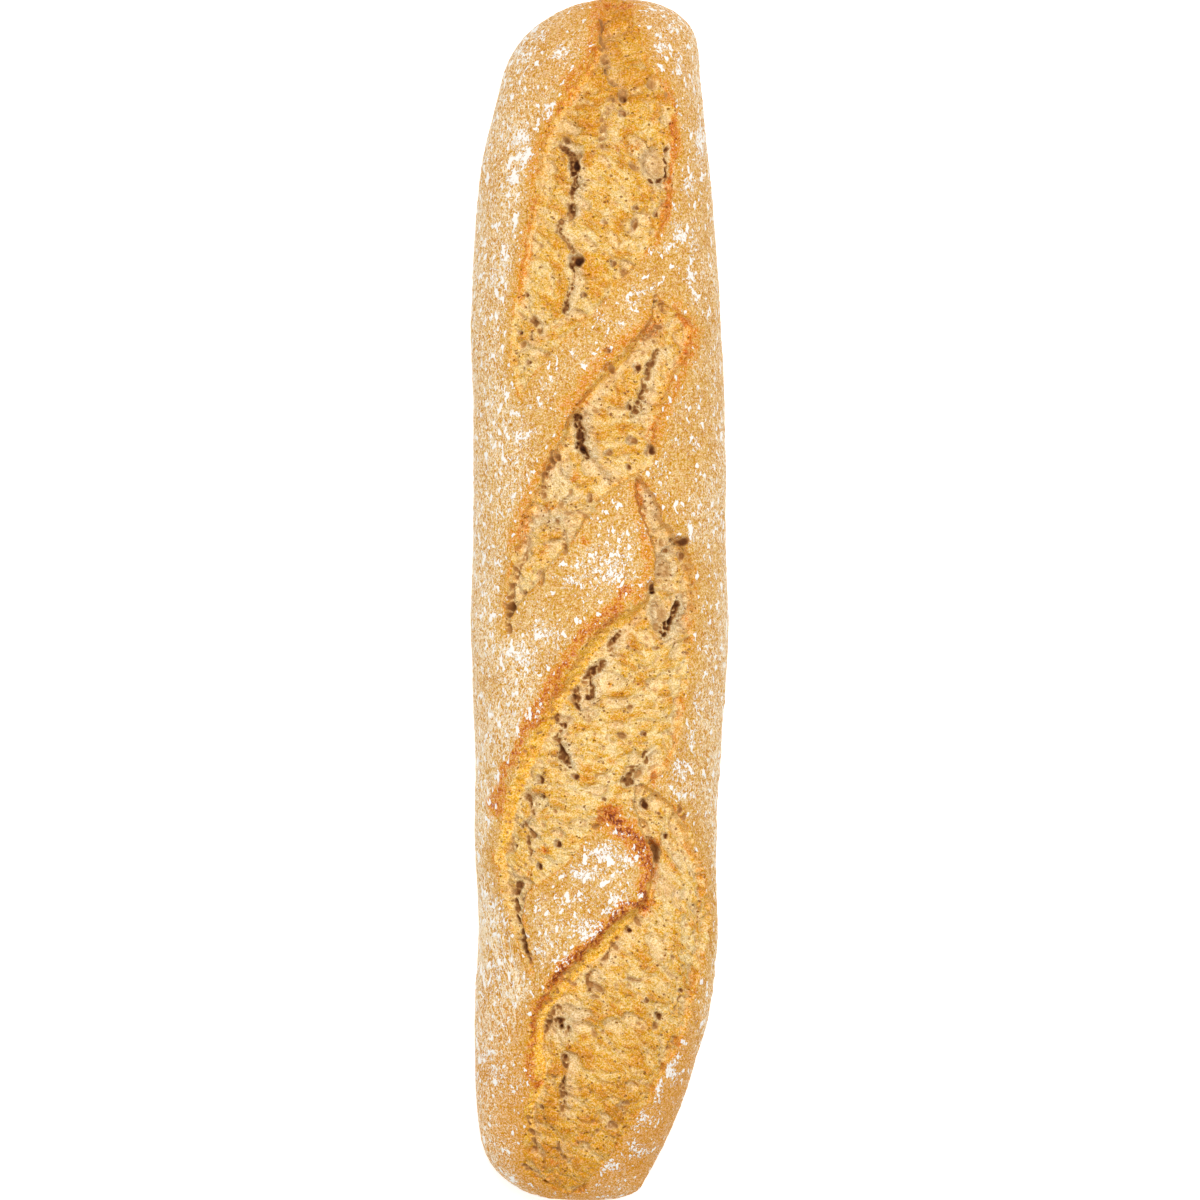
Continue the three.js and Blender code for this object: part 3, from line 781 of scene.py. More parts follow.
class Opening:
    """One opening: its edges as functions and as lines, and its lips and drops as functions of y."""

    def __init__(self, row):
        self.left = curve_through([(y, left) for y, left, right in row["edges"]])
        self.right = curve_through([(y, right) for y, left, right in row["edges"]])
        self.far = row["edges"][0][0]
        self.near = row["edges"][-1][0]
        self.swell = row["swell"]
        self.left_lip = curve_through(row["left_lip"])
        self.left_drop = curve_through(row["left_drop"])
        self.right_lip = curve_through(row["right_lip"])
        self.right_drop = curve_through(row["right_drop"])
        self.scarp = curve_through(row["scarp"])

    def line(self, edge):
        levels = np.linspace(self.far, self.near, EDGE_STEPS + 1)
        return list(zip(edge(levels), levels))

    def is_inside(self, x, y):
        return (y < self.far) & (y > self.near) & (x > self.left(y)) & (x < self.right(y))

    def height(self, y, to_left, to_right, inside):
        """How far the opening lifts or sinks the crust."""
        left_lip = self.left_lip(y) * np.exp(-to_left / LIP_REACH)
        right_lip = self.right_lip(y) * np.exp(-to_right / LIP_REACH)
        scarp = self.scarp(y)
        down = smoothstep(to_left / scarp) * smoothstep(to_right / WALL_WIDTH)
        left_drop = self.left_drop(y) * np.exp(-np.maximum(0, to_left - scarp) / DROP_REACH)
        right_drop = self.right_drop(y) * np.exp(-to_right / DROP_REACH)
        share = to_left / (to_left + to_right + 1e-6)
        width = np.minimum(1, (to_left + to_right) / (2 * DROP_REACH))
        swell = self.swell * width * np.sin(np.pi * share)
        torn = (left_lip + right_lip) * (1 - down) + (swell - left_drop - right_drop) * down
        return np.where(inside, torn, left_lip + right_lip)

    def scarp_face(self, y, to_left, inside):
        """1 on the wide torn face below an ear, 0 elsewhere."""
        scarp = self.scarp(y)
        shows = smoothstep(scarp, SCARP_SHOWS_FROM, SCARP_SHOWS_FULLY)
        return np.where(inside, smoothstep(scarp * SCARP_REACH - to_left) * shows, 0)


openings = [Opening(row) for row in OPENINGS]


# ---- The fields that shape and colour the skin, over points seen from above ----
# x and y are the points' places; s is their distance from the crown's middle, measured round the loaf.
def waves(x, y):
    total = 0.0
    for height, across, along, phase in WAVES:
        swing = np.sin(math.tau * x / across + phase)
        total = total + height * swing * np.cos(math.tau * y / along + phase)
    return total


def opening_fields(x, y):
    """Height, distance inside the nearest edge, nearness to an ear's torn face, and which opening."""
    torn_x, torn_y = ragged(x, y, EDGE_TEAR, 11)
    height = np.zeros(np.shape(x))
    edge = np.full(np.shape(x), OUTSIDE)
    scarp_face = np.zeros(np.shape(x))
    which = np.zeros(np.shape(x), dtype=int)
    for number, opening in enumerate(openings):
        left_line = opening.line(opening.left)
        right_line = opening.line(opening.right)
        near = around(x, y, left_line + right_line, 4 * LIP_REACH)
        at_x = torn_x[near]
        at_y = torn_y[near]
        to_left = distance_to_line(at_x, at_y, left_line)
        to_right = distance_to_line(at_x, at_y, right_line)
        inside = opening.is_inside(at_x, at_y)
        height[near] += opening.height(at_y, to_left, to_right, inside)
        nearest = np.minimum(to_left, to_right)
        signed = np.where(inside, nearest, -nearest)
        which[near] = np.where(signed > edge[near], number, which[near])
        edge[near] = np.maximum(edge[near], signed)
        scarp_face[near] = np.maximum(scarp_face[near], opening.scarp_face(at_y, to_left, inside))
    return height, edge, scarp_face, which


def crack_fields(x, y):
    """Depth of the cracks, which are rows of torn pits, the shade painted in them, and the grey trough on
    their right.
    """
    torn_x, torn_y = ragged(x, y, CRACK_TEAR, 31)
    widen = np.maximum(0.3, 1.0 + 1.1 * fractal_noise(x, y, 3.0, 39))
    from_pit, _, kind, _ = nearest_cell(torn_x / PIT_SIZE, torn_y / PIT_SIZE, 33)
    from_pit = from_pit + 0.15 * lattice_noise(x, y, 1.1, 37)
    pit = blend(0.7, 1.0, kind) * (1 - smoothstep(from_pit, 0.3, 0.75))
    deep = [(depth, CRACK_WIDTH * half_width, line) for depth, half_width, dark, line in CRACKS]
    dark = [(dark, CRACK_WIDTH * half_width, line) for depth, half_width, dark, line in CRACKS]
    trough = [(dark, TROUGH_SPREAD * half_width, line) for depth, half_width, dark, line in CRACKS]
    depth = strongest_near(torn_x, torn_y, deep, widen, CRACK_FOLLOWED, steep) * blend(0.35, 1.0, pit)
    # The cracks' dark colour is painted shade, deepest in their pits.
    shade_darkness = strongest_near(torn_x, torn_y, dark, widen, CRACK_FOLLOWED, steep) * blend(0.15, 1.0, pit)
    as_given = np.ones(np.shape(x))
    beside = strongest_near(torn_x - TROUGH_SHIFT, torn_y, trough, as_given, CRACK_FOLLOWED, soft)
    return depth + TROUGH_DEPTH * beside, shade_darkness, beside


def hole_fields(x, y):
    """Depth of the large holes, the painted shade in them, darkest on their right side, and the grey
    painted shade on their floors.
    """
    torn_x, torn_y = ragged(x, y, HOLE_TEAR, 41)
    deep = [(a, b, rx, ry, 1.0 + 1.0 * min(rx, ry)) for a, b, rx, ry, dark in HOLES]
    # Painted shade in the holes, set off to their right.
    dark = [(a + 0.35 * rx, b - 0.1 * ry, 0.75 * rx, 0.85 * ry, dark) for a, b, rx, ry, dark in HOLES]
    floors = [(a - 0.3 * rx, b, 1.3 * rx, 1.2 * ry, 0.8) for a, b, rx, ry, dark in HOLES]
    depth = strongest_spot(torn_x, torn_y, deep, HOLE_FOLLOWED, steep)
    shade_darkness = strongest_spot(torn_x, torn_y, dark, HOLE_FOLLOWED, steep)
    return depth, shade_darkness, strongest_spot(torn_x, torn_y, floors, HOLE_FOLLOWED, steep)


def pore_fields(s, y, size, share, seed):
    """Depth of scattered pores, and how strongly shade is painted in them, in a share of the places where
    one could be.
    """
    distance, _, kind, width = nearest_cell(s / size, y / size, seed)
    radius = 0.14 + 0.24 * width
    bowl = np.where(kind < share, 1 - smoothstep(distance / radius, 0.3, 1.2), 0)
    return bowl * radius * size * 1.2, bowl


def pocket_fields(s, y):
    """Depth and paleness of the wide shallow bowls that burst bubbles leave."""
    distance, _, kind, width = nearest_cell(s / 11, y / 7, 81)
    radius = 0.2 + 0.24 * width
    reach = distance / radius
    bowl = np.where(kind < 0.42, np.sqrt(np.maximum(0, 1 - reach**2)), 0)
    return 1.1 * bowl * (radius / 0.3), bowl


def fibres(s, y):
    """Places along and across the crumb's torn fibres, which slant and bend."""
    slant = curve_through(FIBRE_SLANT)(y)
    across = y + slant * s + 3.0 * lattice_noise(s, y, 16, 51) + 1.2 * lattice_noise(s, y, 5, 49)
    return s + 2.0 * lattice_noise(s, y, 9, 52), across


def crumb_fields(s, y):
    """Height of the torn crumb, how strongly shade is painted in its pores, and how grey its pockets are.
    """
    along, across = fibres(s, y)
    near, _, lift, _ = nearest_cell(along / 14, across / 8.5, 53)
    pillow = (1 - smoothstep(near, 0.1, 0.9)) * (0.3 + 0.7 * lift)
    lumps = 0.0
    for rise, stretch, size, seed in LUMPS:
        lumps = lumps + rise * billows(along / stretch, across, size, seed)
    thread = fractal_noise(along / 6.0, across / 1.2, 1.0, 55, octaves=2)
    pocket_depth, pocket = pocket_fields(along, across)
    big_depth, big_dark = pore_fields(along, across, *BIG_PORES)
    small_depth, small_dark = pore_fields(s, y, *SMALL_PORES)
    tiny_depth, _ = pore_fields(s, y, *TINY_PORES)
    height = 1.2 * pillow + lumps * (1 - 0.6 * pocket) + 0.4 * thread - pocket_depth
    height = height - big_depth - small_depth - tiny_depth
    dark = np.maximum(0.4 * big_dark, 0.3 * small_dark)
    return height + CRUMB_LEVEL, dark, pocket


def scarp_height(s, y):
    """The bubbled face torn open below an ear, and how strongly shade is painted in its pits."""
    pit_depth, pit = pore_fields(s, y, *SCARP_PORES)
    bubbles = 1.1 * billows(s, y, 2.4, 61) + 0.6 * billows(s, y, 1.2, 62)
    return bubbles + SCARP_LEVEL - pit_depth, 0.42 * pit


def wrinkle_fields(x, y):
    """Fine dry wrinkles along the loaf: their height, how strong they are, and places across them."""
    folds = x + 0.25 * y + 1.2 * lattice_noise(x, y, 9, 131)
    crease = soft(lattice_noise(folds / 1.5, y / 14.0, 1.0, 132) / 0.4)
    wrinkled = strongest_spot(x, y, WRINKLED, SPOT_FOLLOWED, soft)
    return -0.6 * crease * wrinkled, wrinkled, folds


def crust_height(s, y):
    """The baked skin: slow dimples, blisters and fine grain."""
    dimples = 0.45 * fractal_noise(s, y, 11, 71) + 0.14 * fractal_noise(s, y, 2.2, 74)
    near, _, kind, _ = nearest_cell(s / 4.5, y / 4.5, 77)
    blisters = np.where(kind < 0.3, 0.22 * (1 - smoothstep(near, 0.05, 0.35)), 0)
    grain = 0.16 * billows(s, y, 1.3, 75)
    return dimples + blisters + grain


def toast_field(x, y, edge):
    """How brown the crust and crumb are baked."""
    torn_x, torn_y = ragged(x, y, TOAST_TEAR, 91)
    widen = np.maximum(0.2, 1 + 0.8 * fractal_noise(x, y, 5.0, 99))
    lines = [(brown, half_width, line) for half_width, brown, line in TOASTED_LINES]
    toast = strongest_near(torn_x, torn_y, lines, widen, TOAST_FOLLOWED, soft)
    toast = np.maximum(toast, strongest_spot(torn_x, torn_y, TOASTED_SPOTS, SPOT_FOLLOWED, soft))
    rim = 0.35 * np.exp(-np.abs(np.minimum(edge, 0)) / 1.4) * (edge < 0.5) * widen
    return np.maximum(toast, rim)


def flour_fields(x, y, z, s, edge):
    """Where loose flour lies thick, and how much fine dust the crust keeps, more on the steep flanks, where
    the extra is painted light.
    """
    torn_x, torn_y = ragged(x, y, FLOUR_TEAR, 101)
    thick = strongest_spot(torn_x, torn_y, FLOUR_PATCHES, SPOT_FOLLOWED, soft)
    about = [(a, b, 2 * rx, 2 * ry, amount) for a, b, rx, ry, amount in FLOUR_PATCHES]
    near_patches = strongest_spot(torn_x, torn_y, about, SPOT_FOLLOWED, soft)
    left = smoothstep(-x, 12, 30)
    right = smoothstep(x, 22, 38)
    # The flanks take extra dust as painted light, which keeps the steep sides bright.
    flank = 1 - smoothstep(z, 26, 44)
    near_end = smoothstep(-y, 130, 165)
    patchy = 0.35 * fractal_noise(s, y, 13, 105, octaves=3)
    dust_and_light = 0.08 + 0.4 * left + 0.28 * right + 0.35 * flank + 0.15 * near_patches + patchy - 0.2 * near_end
    clear_of_edges = smoothstep(-edge, 0.3, 5.5)
    return thick, clamp01(dust_and_light * clear_of_edges)


# ---- The skin ----
def column_angles():
    """Angles of the mesh's columns, from the middle of the base round by the left side and back."""
    stops = [-math.pi / 2, -BELLY_SPAN, 0, CROWN_SPAN]
    counts = [BASE_COLUMNS // 2, BELLY_COLUMNS, SHOULDER_COLUMNS]
    left = [np.linspace(a, b, n, endpoint=False) for a, b, n in zip(stops[:-1], stops[1:], counts)]
    top = np.linspace(CROWN_SPAN, math.pi / 2, CROWN_COLUMNS // 2, endpoint=False)
    half = np.concatenate([*left, top])
    return np.concatenate([half, [math.pi / 2], math.pi - half[:0:-1]])


def row_levels():
    """Where the mesh's rows lie along y, between the tips."""
    share = np.arange(1, ROWS) / ROWS
    half = 1 - np.abs(2 * share - 1)
    inwards = half**2 * (1 + END_CROWDING) / (half + END_CROWDING)
    return np.where(share < 0.5, 1, -1) * (LENGTH / 2) * (1 - inwards)


def distance_round(base, angles):
    """Each point's distance from the crown's middle, measured round its row."""
    steps = np.linalg.norm(np.diff(base, axis=1), axis=-1)
    along = np.concatenate([np.zeros((len(base), 1)), np.cumsum(steps, axis=1)], axis=1)
    top_column = int(np.argmin(np.abs(angles - math.pi / 2)))
    return along - along[:, top_column : top_column + 1]


def blurred(grid, passes):
    """The grid smoothed by as many passes over each place and its neighbours."""
    for _ in range(passes):
        grid = 0.5 * grid + 0.25 * (np.roll(grid, 1, axis=1) + np.roll(grid, -1, axis=1))
        above = np.vstack([grid[:1], grid[:-1]])
        below = np.vstack([grid[1:], grid[-1:]])
        grid = 0.5 * grid + 0.25 * (above + below)
    return grid


def below_surroundings(height, passes, full):
    """How far each place lies below its blurred surroundings, as a share of a full depth."""
    return clamp01((blurred(height, passes) - height) / full)


def skin_fields(x, y, z, s):
    """The relief and the colour fields of the whole skin."""
    on_top = smoothstep(z, GIRTH_LEVEL, GIRTH_LEVEL + RELIEF_FADE)
    torn_height, edge, scarp_face, which = opening_fields(x, y)
    edge = np.where(z > GIRTH_LEVEL, edge, OUTSIDE)
    crumb = smoothstep(edge, 0.0, 1.2)
    well_in = smoothstep(edge, 1.0, 3.0)
    crack_depth, crack_shade, trough = crack_fields(x, y)
    hole_depth, hole_shade, floor = hole_fields(x, y)
    crumb_height, pore_shade, pocket = crumb_fields(s, y)
    along, across = fibres(s, y)
    bubbled_height, pit_shade = scarp_height(s, y)
    inside = blend(crumb_height, bubbled_height, scarp_face)
    wrinkle_height, wrinkled, folds = wrinkle_fields(x, y)
    detail = blend(crust_height(s, y) + wrinkle_height, inside, crumb)
    thick, dust_and_light = flour_fields(x, y, z, s, edge)
    pale_x, pale_y = ragged(x, y, PALE_TEAR, 111)
    grey = strongest_spot(pale_x, pale_y, PALE_POCKETS, SPOT_FOLLOWED, soft)
    grey = np.maximum.reduce([grey, trough, floor, 0.3 * pocket * (1 - scarp_face)])
    inner_shade = blend(pore_shade, pit_shade, scarp_face) * crumb
    off_base = smoothstep(z, 0, 12)
    shaped = waves(x, y) + torn_height
    relief = detail * np.maximum(on_top, 0.6 * off_base) - np.maximum(crack_depth, hole_depth) * on_top
    height = shaped * on_top + relief
    return {
        "height": height,
        "which": which,
        "edge": edge,
        "bake": blend(curve_through(CRUST_BAKE)(y), curve_through(CRUMB_BAKE)(y), crumb),
        "toast": toast_field(x, y, edge) * on_top,
        "flakes": thick * on_top,
        "dust_and_light": dust_and_light,
        "raised": np.clip((height - blurred(height, RAISED_BLUR)) / RAISED_BY, -1, 1) * well_in,
        "hollow": below_surroundings(relief, HOLLOW_BLUR, HOLLOW_DEPTH) * well_in,
        # How far a place sinks below its surroundings, painted as shade in pits and creases.
        "sunken_shade": below_surroundings(relief, SUNKEN_BLUR, blend(CREASE_DEPTH, SUNKEN_DEPTH, crumb)),
        # Painted shade in cracks, holes, pores and pits.
        "cavity_shade": np.maximum.reduce([crack_shade, hole_shade, inner_shade]) * on_top,
        "grey": grey * crumb,
        "scarp": scarp_face * crumb,
        "underside": 1 - smoothstep(z, 0.5, 9),
        "along": along,
        "across": across,
        "wrinkled": wrinkled,
        "folds": folds,
    }


def skin_points(base, y, angle, fields):
    """The smooth loaf's points moved out to the skin: upwards on the crown, sideways on the sides."""
    side = outward(y, angle)
    up = unit(side * np.array([RELIEF_LEAN, RELIEF_LEAN, 1.0]))
    upright = smoothstep(base[..., 2:3], GIRTH_LEVEL - 6, GIRTH_LEVEL + 10)
    points = base + unit(blend(side, up, upright)) * fields["height"][..., None]
    points[..., 2] = np.maximum(points[..., 2], 0)
    return points


def grid_normals(points):
    """The outward direction at each point of the closed rows."""
    round_it = np.roll(points, -1, axis=1) - np.roll(points, 1, axis=1)
    along = np.gradient(points, axis=0)
    return unit(np.cross(along, round_it))


class Skin:
    """The whole skin: its points row by row, the two tips last, and its faces and their map places."""

    def __init__(self):
        angles = column_angles()
        levels = row_levels()
        y = levels[:, None] * np.ones(len(angles))
        angle = np.ones(len(levels))[:, None] * angles
        base = smooth_loaf(y, angle)
        s = distance_round(base, angles)
        fields = skin_fields(base[..., 0], y, base[..., 2], s)
        grid = skin_points(base, y, angle, fields)
        tips = np.array([(middle(end), end, GIRTH_LEVEL) for end in (LENGTH / 2, -LENGTH / 2)])
        self.rows, self.columns = y.shape
        self.points = np.vstack([grid.reshape(-1, 3), tips])
        self.normals = np.vstack([grid_normals(grid).reshape(-1, 3), [(0, 1, 0), (0, -1, 0)]])
        self.fields = {name: self.with_tips(fields[name]) for name in (*FIELDS, "which")}

    def with_tips(self, values):
        return np.append(values.ravel(), values[[0, -1], 0])

    def quads(self):
        row, column = np.divmod(np.arange((self.rows - 1) * self.columns), self.columns)
        after = (column + 1) % self.columns
        start = row * self.columns
        below = start + self.columns
        return np.stack([start + column, below + column, below + after, start + after], axis=-1)

    def caps(self):
        column = np.arange(self.columns)
        after = (column + 1) % self.columns
        last = (self.rows - 1) * self.columns
        far_tip = np.full(self.columns, self.rows * self.columns)
        far = np.stack([far_tip, column, after], axis=-1)
        near = np.stack([far_tip + 1, last + after, last + column], axis=-1)
        return far, near

    def owners(self, quads):
        """Which piece each quad belongs to: an opening's crumb, or a third of the crust."""
        edge = self.fields["edge"][quads]
        which = self.fields["which"][quads]
        in_crumb = (edge.min(axis=1) > 0) & (which.min(axis=1) == which.max(axis=1))
        third = np.arange(len(quads)) * len(CRUST_PIECES) // len(quads)
        crumb = len(CRUST_PIECES) + which[:, 0].astype(int)
        return np.where(in_crumb, crumb, third)

    def on_map(self, faces):
        """The place of each face's corners on the map: its column across, its row up."""
        row, column = np.divmod(faces, self.columns)
        past_seam = column.max(axis=1, keepdims=True) - column > self.columns / 2
        column = np.where(past_seam, column + self.columns, column)
        return np.stack([column, self.rows - row], axis=-1).astype(float)


def add_attributes(mesh, skin, used):
    for name in FIELDS:
        attribute = mesh.attributes.new(name, "FLOAT", "POINT")
        attribute.data.foreach_set("value", skin.fields[name][used].astype(np.float32))


def make_piece(name, skin, quads, triangles, material):
    """One piece of the skin, with its own points, smooth across the borders to its neighbours."""
    corners = np.concatenate([quads.ravel(), triangles.ravel()])
    used, local = np.unique(corners, return_inverse=True)
    faces = local[: quads.size].reshape(-1, 4).tolist() + local[quads.size :].reshape(-1, 3).tolist()
    mesh = bpy.data.meshes.new(name)
    mesh.from_pydata((skin.points[used] * MM).tolist(), [], faces)
    add_attributes(mesh, skin, used)
    places = np.concatenate([skin.on_map(quads).reshape(-1, 2), skin.on_map(triangles).reshape(-1, 2)])
    low = places.min(axis=0)
    places = (places - low) / (places.max(axis=0) - low)
    layer = mesh.uv_layers.new(name=MAP_NAME)
    layer.uv.foreach_set("vector", places.astype(np.float32).ravel())
    mesh.shade_smooth()
    mesh.normals_split_custom_set_from_vertices(skin.normals[used].tolist())
    mesh.materials.append(material)
    piece = bpy.data.objects.new(name, mesh)
    bpy.context.scene.collection.objects.link(piece)
    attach(piece, "root")
    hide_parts("loaf")


def make_loaf(material):
    skin = Skin()
    quads = skin.quads()
    owners = skin.owners(quads)
    far_cap, near_cap = skin.caps()
    for number, name in enumerate(CRUST_PIECES + CRUMB_PIECES):
        triangles = np.zeros((0, 3), dtype=int)
        if name == CRUST_PIECES[0]:
            triangles = far_cap
        if name == CRUST_PIECES[-1]:
            triangles = near_cap
        make_piece(name, skin, quads[owners == number], triangles, material)


# ---- Materials ----
FOLD_STRETCH = 9  # how drawn out the flour is along the crust's wrinkles


def rgb(red, green, blue):
    """A screen colour, each channel from 0 to 255, as the linear colour that a shader takes."""
    channels = [value / 255 for value in (red, green, blue)]
    linear = [c / 12.92 if c <= 0.04045 else ((c + 0.055) / 1.055) ** 2.4 for c in channels]
    return (*linear, 1.0)


class Shading:
    """The node tree of one material, with a short way to add each kind of node."""

    def __init__(self, name):
        self.material = bpy.data.materials.new(name)
        self.material.use_nodes = True
        self.tree = self.material.node_tree
        self.shader = self.tree.nodes["Principled BSDF"]

    def node(self, kind, inputs=None, **settings):
        made = self.tree.nodes.new(kind)
        for name, value in settings.items():
            setattr(made, name, value)
        for name, value in (inputs or {}).items():
            self.feed(made.inputs[name], value)
        return made

    def feed(self, socket, value):
        if isinstance(value, bpy.types.NodeSocket):
            self.tree.links.new(value, socket)
        else:
            socket.default_value = value

    def attribute(self, name):
        return self.node("ShaderNodeAttribute", attribute_name=name).outputs["Fac"]

    def millimetres(self, stretch=(1, 1, 1)):
        """The surface's own coordinates in millimetres, with each axis divided by its stretch."""
        place = self.node("ShaderNodeTexCoord").outputs["Object"]
        scale = tuple(1 / MM / amount for amount in stretch)
        return self.node("ShaderNodeVectorMath", {0: place, 1: scale}, operation="MULTIPLY").outputs[0]

    def noise_at(self, place, size, detail, roughness):
        inputs = {"Vector": place, "Scale": 1 / size, "Detail": detail, "Roughness": roughness}
        return self.node("ShaderNodeTexNoise", inputs).outputs["Fac"]

    def noise(self, size, stretch=(1, 1, 1), detail=2.0, roughness=0.5):
        return self.noise_at(self.millimetres(stretch), size, detail, roughness)

    def fibre_noise(self, size, stretch, detail=2.0, roughness=0.5):
        """Noise drawn out along the crumb's fibres."""
        along = self.math("DIVIDE", self.attribute("along"), stretch)
        inputs = {"X": along, "Y": self.attribute("across")}
        place = self.node("ShaderNodeCombineXYZ", inputs).outputs["Vector"]
        return self.noise_at(place, size, detail, roughness)

    def rise(self, stretch):
        """How far along the loaf a place is, in millimetres divided by a stretch."""
        place = self.millimetres((1, stretch, 1))
        return self.node("ShaderNodeSeparateXYZ", {"Vector": place}).outputs["Y"]

    def blended(self, factor, first, second):
        inputs = {"Factor": factor, "A": first, "B": second}
        return self.node("ShaderNodeMix", inputs, data_type="FLOAT").outputs[0]

    def cells(self, size, stretch=(1, 1, 1)):
        inputs = {"Vector": self.millimetres(stretch), "Scale": 1 / size}
        return self.node("ShaderNodeTexVoronoi", inputs).outputs["Distance"]

    def math(self, operation, first, second=0.0):
        return self.node("ShaderNodeMath", {0: first, 1: second}, operation=operation).outputs[0]

    def total(self, *terms):
        """The sum of (value, weight) terms."""
        result = 0.0
        for value, weight in terms:
            inputs = {0: value, 1: weight, 2: result}
            result = self.node("ShaderNodeMath", inputs, operation="MULTIPLY_ADD").outputs[0]
        return result

    def span(self, value, low, high, to_low=0.0, to_high=1.0):
        inputs = {"Value": value, "From Min": low, "From Max": high, "To Min": to_low, "To Max": to_high}
        return self.node("ShaderNodeMapRange", inputs, interpolation_type="SMOOTHSTEP").outputs["Result"]

    def mix(self, factor, first, second):
        """Two colours mixed. The node's sixth and seventh inputs and third output are its colours."""
        inputs = {"Factor": factor, 6: first, 7: second}
        return self.node("ShaderNodeMix", inputs, data_type="RGBA").outputs[2]

    def tint(self, amount, strength, colour, other):
        """A colour mixed towards another by an amount times a strength."""
        return self.mix(self.math("MULTIPLY", amount, strength), colour, other)

    def long_ramp(self, factor, stops, share):
        """A ramp whose stops may pass 1: the factor and the stops are scaled down by one share."""
        scaled = [(at * share, colour) for at, colour in stops]
        return self.ramp(self.math("MULTIPLY", factor, share), scaled)

    def ramp(self, factor, stops):
        node = self.node("ShaderNodeValToRGB", {"Fac": factor})
        elements = node.color_ramp.elements
        elements[0].position, elements[0].color = stops[0]
        elements[1].position, elements[1].color = stops[-1]
        for position, colour in stops[1:-1]:
            elements.new(position).color = colour
        return node.outputs["Color"]


def toast_colour(shading, toast):
    """How browned each place is, broken up by the grain, and its colour: golden to an ear's red-brown."""
    speckle = shading.span(shading.noise(1.2, (1, 1.4, 1), detail=4, roughness=0.75), 0.36, 0.64)
    browned = shading.total((toast, 0.35), (shading.math("MULTIPLY", toast, speckle), 0.8))
    stops = [
        (0.0, rgb(240, 192, 106)),
        (0.3, rgb(232, 166, 80)),
        (0.55, rgb(220, 134, 54)),
        (0.8, rgb(184, 92, 38)),
        (1.0, rgb(128, 56, 26)),
    ]
    return browned, shading.ramp(browned, stops)


def crust_colour(shading, toast):
    """Golden baked skin with a fine mottle, browner where it is toasted."""
    grain = shading.noise(0.9, (1, 1.3, 1), detail=4, roughness=0.75)
    mottle = shading.noise(3.0, detail=3)
    slow = shading.noise(17)
    tone = shading.total((grain, 1.5), (mottle, 0.35), (slow, 0.2))
    stops = [
        (0.72, rgb(190, 124, 56)),
        (0.92, rgb(214, 156, 80)),
        (1.06, rgb(224, 177, 104)),
        (1.24, rgb(240, 206, 146)),
    ]
    golden = shading.long_ramp(tone, stops, 0.75)
    golden = shading.tint(shading.attribute("bake"), 0.65, golden, rgb(226, 152, 66))
    browned, brown = toast_colour(shading, toast)
    return shading.mix(shading.span(browned, 0.08, 0.4), golden, brown)


def crumb_colour(shading, toast):
    """Open crumb: cream and grey in the hollows, the grey partly painted shade, golden where it stands out
    and the oven reached it, and the torn face below an ear painted lighter than its own gold.
    """
    threads = shading.fibre_noise(1.3, 2.6, detail=4, roughness=0.7)
    blotches = shading.fibre_noise(5, 1.8)
    grain = shading.noise(0.8, detail=3, roughness=0.75)
    patchy = shading.total((blotches, 0.65), (threads, 0.65), (grain, 0.45))
    raised = shading.attribute("raised")
    bake = shading.attribute("bake")
    tone = shading.total((patchy, 1.0), (raised, 0.17), (bake, 0.2))
    stops = [
        (0.65, rgb(228, 198, 144)),
        (0.77, rgb(249, 222, 166)),
        (0.88, rgb(243, 207, 136)),
        (1.00, rgb(236, 186, 98)),
        (1.13, rgb(226, 154, 60)),
        (1.30, rgb(204, 126, 42)),
    ]
    baked = shading.long_ramp(tone, stops, 0.6)
    pale = shading.ramp(
        shading.math("MULTIPLY", shading.total((grain, 1.0), (threads, 1.0)), 0.5),
        [(0.38, rgb(212, 178, 124)), (0.5, rgb(246, 218, 168)), (0.62, rgb(255, 238, 200))],
    )
    # The grey field is partly barely baked crumb and partly painted shade in deep pockets, on hole floors
    # and beside the ears.
    greyed = shading.total((shading.attribute("grey"), 0.85), (shading.attribute("hollow"), 0.3))
    pale = shading.mix(shading.span(greyed, 0.5, 1.0, 0.0, 0.45), pale, rgb(202, 178, 138))
    colour = shading.mix(shading.span(greyed, 0.15, 0.8), baked, pale)
    colour = shading.tint(bake, 0.5, colour, rgb(212, 150, 56))
    # Painted light: the torn face below an ear is lighter than its own gold, to make up for the shade its
    # steep slope gets.
    bubbled_and_lit = shading.ramp(
        grain,
        [(0.3, rgb(226, 156, 62)), (0.5, rgb(250, 198, 96)), (0.7, rgb(255, 226, 146))],
    )
    colour = shading.mix(shading.attribute("scarp"), colour, bubbled_and_lit)
    browned, brown = toast_colour(shading, toast)
    return shading.mix(shading.span(browned, 0.1, 0.42), colour, brown)


def pore_mask(shading):
    """Fine pores that come and go over the crumb, with shade painted in them and sunk into the bump."""
    dots = shading.span(shading.cells(1.7, (1.3, 1, 1)), 0.22, 0.28, 1.0, 0.0)
    presence = shading.span(shading.noise(2.4, detail=1), 0.52, 0.58)
    return shading.math("MULTIPLY", dots, presence)


